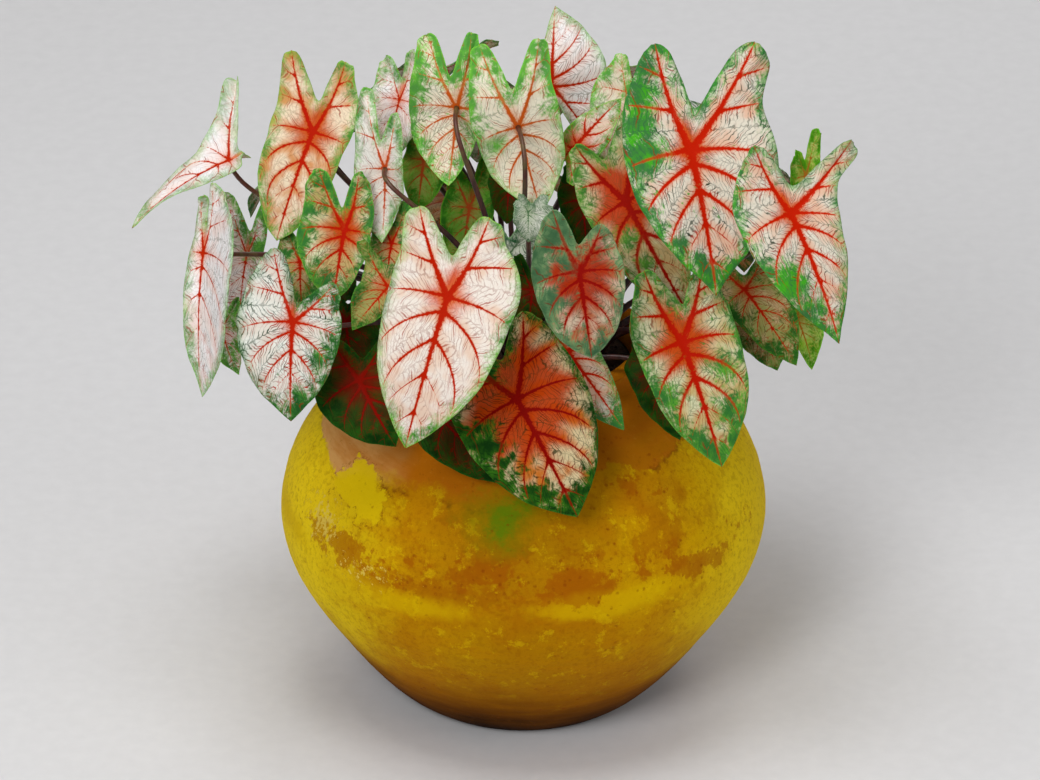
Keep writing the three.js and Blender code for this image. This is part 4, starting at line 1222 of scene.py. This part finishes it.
def settle(piece):
    """Applies a piece's modifiers to its mesh."""
    graph = bpy.context.evaluated_depsgraph_get()
    mesh = bpy.data.meshes.new_from_object(piece.evaluated_get(graph))
    piece.modifiers.clear()
    piece.data = mesh


def crumb(random, place, size):
    """A small lump of earth: an icosahedron with its corners moved about."""
    golden = (1 + math.sqrt(5)) / 2
    corners = [
        (-1, golden, 0), (1, golden, 0), (-1, -golden, 0), (1, -golden, 0),
        (0, -1, golden), (0, 1, golden), (0, -1, -golden), (0, 1, -golden),
        (golden, 0, -1), (golden, 0, 1), (-golden, 0, -1), (-golden, 0, 1),
    ]
    faces = [
        (0, 11, 5), (0, 5, 1), (0, 1, 7), (0, 7, 10), (0, 10, 11),
        (1, 5, 9), (5, 11, 4), (11, 10, 2), (10, 7, 6), (7, 1, 8),
        (3, 9, 4), (3, 4, 2), (3, 2, 6), (3, 6, 8), (3, 8, 9),
        (4, 9, 5), (2, 4, 11), (6, 2, 10), (8, 6, 7), (9, 8, 1),
    ]
    uneven = 1 + random.uniform(-CRUMB_UNEVEN, CRUMB_UNEVEN, (len(corners), 1))
    shape = np.array(corners) / CRUMB_REACH * uneven
    return np.array(place) + shape * size * random.uniform(*CRUMB_STRETCH, 3), faces


def build_soil(random):
    """The soil: a lumpy top, and crumbs that lie on it."""
    side = smooth_through([[r - SOIL_GAP[0], z + SOIL_GAP[1]] for r, z in INSIDE[:2:-1]], INNER_STEPS)
    top_radius = side[-1][0]
    rings = np.linspace(1, 0, SOIL_RINGS)[1:-1]
    top = np.array([[top_radius * share, SOIL_TOP] for share in rings])
    profile = np.vstack([side, top])
    points = lathe(profile, SOIL_SIDES)
    surface = slice(len(side) * SOIL_SIDES, None)
    lumps = random.normal(0, 1, (len(top) // 2 + 2, SOIL_SIDES // 2))
    lumps = np.repeat(np.repeat(lumps, 2, axis=0), 2, axis=1)[:len(top)].ravel()
    lumps = lumps * LUMP_HEIGHT + random.normal(0, GRAIN_HEIGHT, len(lumps))
    points[surface, 2] += np.clip(lumps, *LUMP_LIMITS)
    points = points.tolist()
    faces = closed_faces(len(profile), SOIL_SIDES)
    for _ in range(CRUMBS):
        angle = random.uniform(0, 2 * math.pi)
        reach = (top_radius - CRUMB_FREE) * math.sqrt(random.uniform(0, 1))
        size = CRUMB_SIZE[0] + CRUMB_SIZE[1] * random.uniform(0, 1) ** 3
        place = (reach * math.cos(angle), reach * math.sin(angle), SOIL_TOP + CRUMB_RAISED * size)
        append(points, faces, *crumb(random, place, size))
    piece = make_mesh("soil_fine", points, faces, [soil_material()])
    dress(piece, "soil", "soil")


def soil_material():
    g = Nodes("potting_soil", Roughness=0.95)
    place = g.place()
    grain = g.noise(place, 420, 5, 0.7)
    patches = g.noise(place, 70, 3)
    colour = g.mix(g.step(patches, 0.35, 0.7), linear((30, 21, 16)), linear((62, 44, 32)))
    colour = g.over(colour, g.step(grain, 0.62, 0.72), (112, 88, 66))
    return g.finish(colour, grain, 0.8, 0.002)


def pot_material():
    g = Nodes("weathered_clay", Roughness=0.75, Specular_IOR_Level=0.04)
    place = g.place()
    bare, bright, brown = g.split(g.attribute("coat"))
    moss, pale, band = g.split(g.attribute("marks"))
    across, _, height = g.split(place)
    broad = g.noise(place, 7, 4, 0.55)
    middle = g.noise(place, 32, 5, 0.62)
    fine = g.noise(place, 170, 5, 0.7)
    streaks = g.noise(g.scaled(place, (12, 12, 70)), 1, 4, 0.6)
    ragged = g.noise(place, 15, 6, 0.72)
    flecks = g.noise(place, 44, 6, 0.75)
    wander = (broad - 0.5) * 0.25
    aside = abs(across) + wander
    leftward = across + wander
    # The worn yellow coat over the belly: browner in the middle by painted shade, and more lemon toward
    # the left, partly its own colour and partly painted highlight.
    golden = g.mix(g.step(broad, 0.38, 0.62), linear((200, 154, 0)), linear((180, 122, 0)))
    golden = g.coats(golden, [
        (aside, 0.02, 0.14, 0.6, 0, (164, 112, 0)),
        (leftward, -0.2, -0.1, 0.85, 0, (212, 184, 14)),
        (streaks, 0.46, 0.66, 0, 0.45, (184, 124, 0)),
        (middle, 0.5, 0.64, 0, 0.5, (170, 110, 0)),
    ])
    # A belt of dirt round the belly, with yellow flecks where the coat still holds, a painted highlight
    # that turns both sides pale lemon, and grain all over.
    belt = g.step(height, 0.17, 0.23) * g.step(height, 0.27, 0.32, 1, 0.25)
    golden = g.over(golden, belt * g.step(ragged, 0.47, 0.54, 0, 0.6), (158, 88, 0))
    golden = g.coats(golden, [
        (flecks, 0.56, 0.62, 0, 0.5, (212, 178, 6)),
        (aside, 0.13, 0.22, 0, 0.85, (234, 204, 20)),
        (fine, 0.48, 0.62, 0, 0.32, (142, 84, 0)),
    ])
    # Lower down the colour turns orange-brown, and at the foot a painted shadow darkens it where the pot
    # stands.
    low = height + (broad + streaks * 0.6 - 0.8) * 0.08
    colour = g.mix(g.step(low, 0.03, 0.15), linear((150, 86, 0)), golden)
    colour = g.mix(g.step(low, -0.015, 0.105), linear((30, 11, 0)), colour)
    # Bare clay on the shoulder: tan on the left, orange in front, its edge ragged and brown in places.
    fray = middle * 26 + fine * 8 - 17
    clay = g.mix(g.step(leftward, -0.2, -0.08), linear((206, 154, 88)), linear((182, 104, 6)))
    clay = g.coats(clay, [
        (leftward, 0, 0.16, 0, 1, (172, 106, 4)),
        (streaks, 0.4, 0.66, 0, 0.6, (176, 98, 8)),
        (fine, 0.55, 0.75, 0, 0.3, (206, 142, 50)),
    ])
    bare_reach = bare + fray
    soft = g.step(g.noise(place, 12), 0.45, 0.6, 1.5, 11)
    share = g.add("ShaderNodeMapRange", {"Value": bare_reach, "From Min": -1, "From Max": soft})
    colour = g.mix(share, colour, clay)
    rim = g.step(bare_reach, -3.5, 0) * g.step(bare_reach, 0, 3, 1, 0)
    colour = g.over(colour, rim * g.step(middle, 0.48, 0.6, 0, 0.7), (116, 62, 4))
    # A worn bright band, and a bright patch where the coat is whole, with chips along its edge.
    bright_reach = bright + fray * 1.7
    colour = g.coats(colour, [
        (band + fray, -5, 8, 0, 0.7, (208, 170, 0)),
        (bright_reach, 0, 2.5, 0, 0.9, (216, 184, 6)),
    ])
    chip = g.step(bright_reach, -2, -0.4) * g.step(bright_reach, -0.4, 1, 1, 0)
    colour = g.over(colour, chip * g.step(fine, 0.48, 0.56, 0, 0.7), (126, 72, 6))
    # Brown scuffs, pale flakes, moss, and small rusty specks round them.
    torn = (ragged - 0.5) * 90
    moss_reach = moss + (fray + torn)
    colour = g.coats(colour, [
        (brown + (fray * 1.4 + torn), -2, 3, 0, 0.6, (160, 84, 0)),
        (pale + (fine - 0.62) * 150, 0, 5, 0, 0.75, (222, 196, 84)),
        (moss_reach, -20, 4, 0, 0.6, (128, 122, 0)),
        (moss_reach, 0, 15, 0, 0.75, (86, 132, 6)),
    ])
    around = g.most(g.step(middle, 0.53, 0.63), g.step(brown, -30, -4, 0, 0.8))
    specks = g.step(g.cells(place, 120), 0.12, 0.3, 1, 0) * (around * g.step(fine, 0.42, 0.52))
    colour = g.over(colour, specks * 0.65, (132, 58, 0))
    colour = g.over(colour, g.step(fine, 0.3, 0.42, 0.35, 0), (132, 78, 0))
    return g.finish(colour, fine + streaks * 0.8 - specks * 0.6, 0.4, 0.0015)


# The bare shoulder's lower edge, as [compass angle, height], and the other marked areas of the pot, as
# [compass angle, height, half width, half height].
BARE_EDGE = [
    [-180, 296], [-165, 292], [-150, 284], [-140, 297], [-128, 300], [-118, 303], [-100, 298], [-84, 300],
    [-72, 318], [-60, 322], [-50, 312], [-30, 318], [0, 304], [50, 294], [95, 306], [140, 298], [180, 296],
]
PATCHES = {
    "bright": [[-143, 288, 30, 20], [-134, 278, 24, 14], [35, 254, 40, 18], [120, 266, 32, 18]],
    "brown": [
        [-138, 236, 64, 12], [-104, 246, 60, 10], [-78, 240, 62, 11], [-44, 224, 52, 13], [-66, 316, 40, 10],
        [60, 218, 70, 14], [150, 238, 54, 12],
    ],
    "moss": [[-96, 290, 25, 13], [-88, 302, 12, 9], [80, 288, 26, 13]],
    "pale": [[-148, 246, 40, 26], [-132, 222, 44, 16], [100, 224, 54, 20]],
    "band": [
        [-117, 205, 70, 12], [-68, 212, 84, 15], [-165, 215, 60, 14], [20, 210, 90, 15], [125, 206, 90, 14],
    ],
}


# ---- Light, floor and camera ----
ELEVATION = math.radians(29.5)
DISTANCE = 7.0
TARGET = Vector((-0.003, 0.0, 0.324))
FOCAL_PIXELS = 7000
IMAGE_WIDTH = 1040
SENSOR_WIDTH = 36
FLOOR_HALF = 6.0
# One row for each light: its name, place, size and power.
LIGHTS = [
    ["sky", (-0.4, -0.5, 3.6), 1.6, 46],
    ["front", (-1.4, -3.6, 3.2), 1.8, 92],
    ["right", (2.8, -1.6, 1.9), 1.8, 14],
    ["back", (0.6, 3.2, 2.6), 1.8, 24],
]


def build_camera():
    camera = bpy.data.objects.new("camera", bpy.data.cameras.new("camera"))
    camera.data.sensor_width = SENSOR_WIDTH
    camera.data.lens = FOCAL_PIXELS / IMAGE_WIDTH * SENSOR_WIDTH
    camera.data.clip_end = 50
    away = Vector((0, -math.cos(ELEVATION), math.sin(ELEVATION)))
    camera.location = TARGET + away * DISTANCE
    camera.rotation_euler = (math.pi / 2 - ELEVATION, 0, 0)
    bpy.context.scene.collection.objects.link(camera)
    bpy.context.scene.camera = camera


def area_light(name, place, size, power):
    light = bpy.data.objects.new(name, bpy.data.lights.new(name, "AREA"))
    light.data.shape = "DISK"
    light.data.size = size
    light.data.energy = power
    light.location = place
    light.rotation_euler = (TARGET - Vector(place)).to_track_quat("-Z", "Y").to_euler()
    bpy.context.scene.collection.objects.link(light)


def build_studio():
    world = bpy.data.worlds.new("studio")
    world.use_nodes = True
    background = world.node_tree.nodes["Background"]
    background.inputs["Color"].default_value = (1.0, 0.98, 0.95, 1)
    background.inputs["Strength"].default_value = 0.32
    bpy.context.scene.world = world
    for row in LIGHTS:
        area_light(*row)
    corners = np.array([[-1, -1, 0], [1, -1, 0], [1, 1, 0], [-1, 1, 0]]) * FLOOR_HALF
    floor = make_mesh("floor", corners / MM, [[0, 1, 2, 3]], [floor_material()])
    bpy.context.scene.view_settings.view_transform = "Standard"


def floor_material():
    g = Nodes("pale_floor", Roughness=0.9)
    grain = g.noise(g.place(), 60, 4)
    colour = g.mix(grain, linear((214, 214, 216)), linear((224, 224, 226)))
    return g.finish(colour)


build_camera()
build_studio()
random = np.random.default_rng(7)
build_pot(random)
build_soil(random)
for name, (x, y) in CROWNS.items():
    build_crown(name, x, y, random)
for number, leaf in enumerate(LEAVES):
    build_blade(leaf, number)
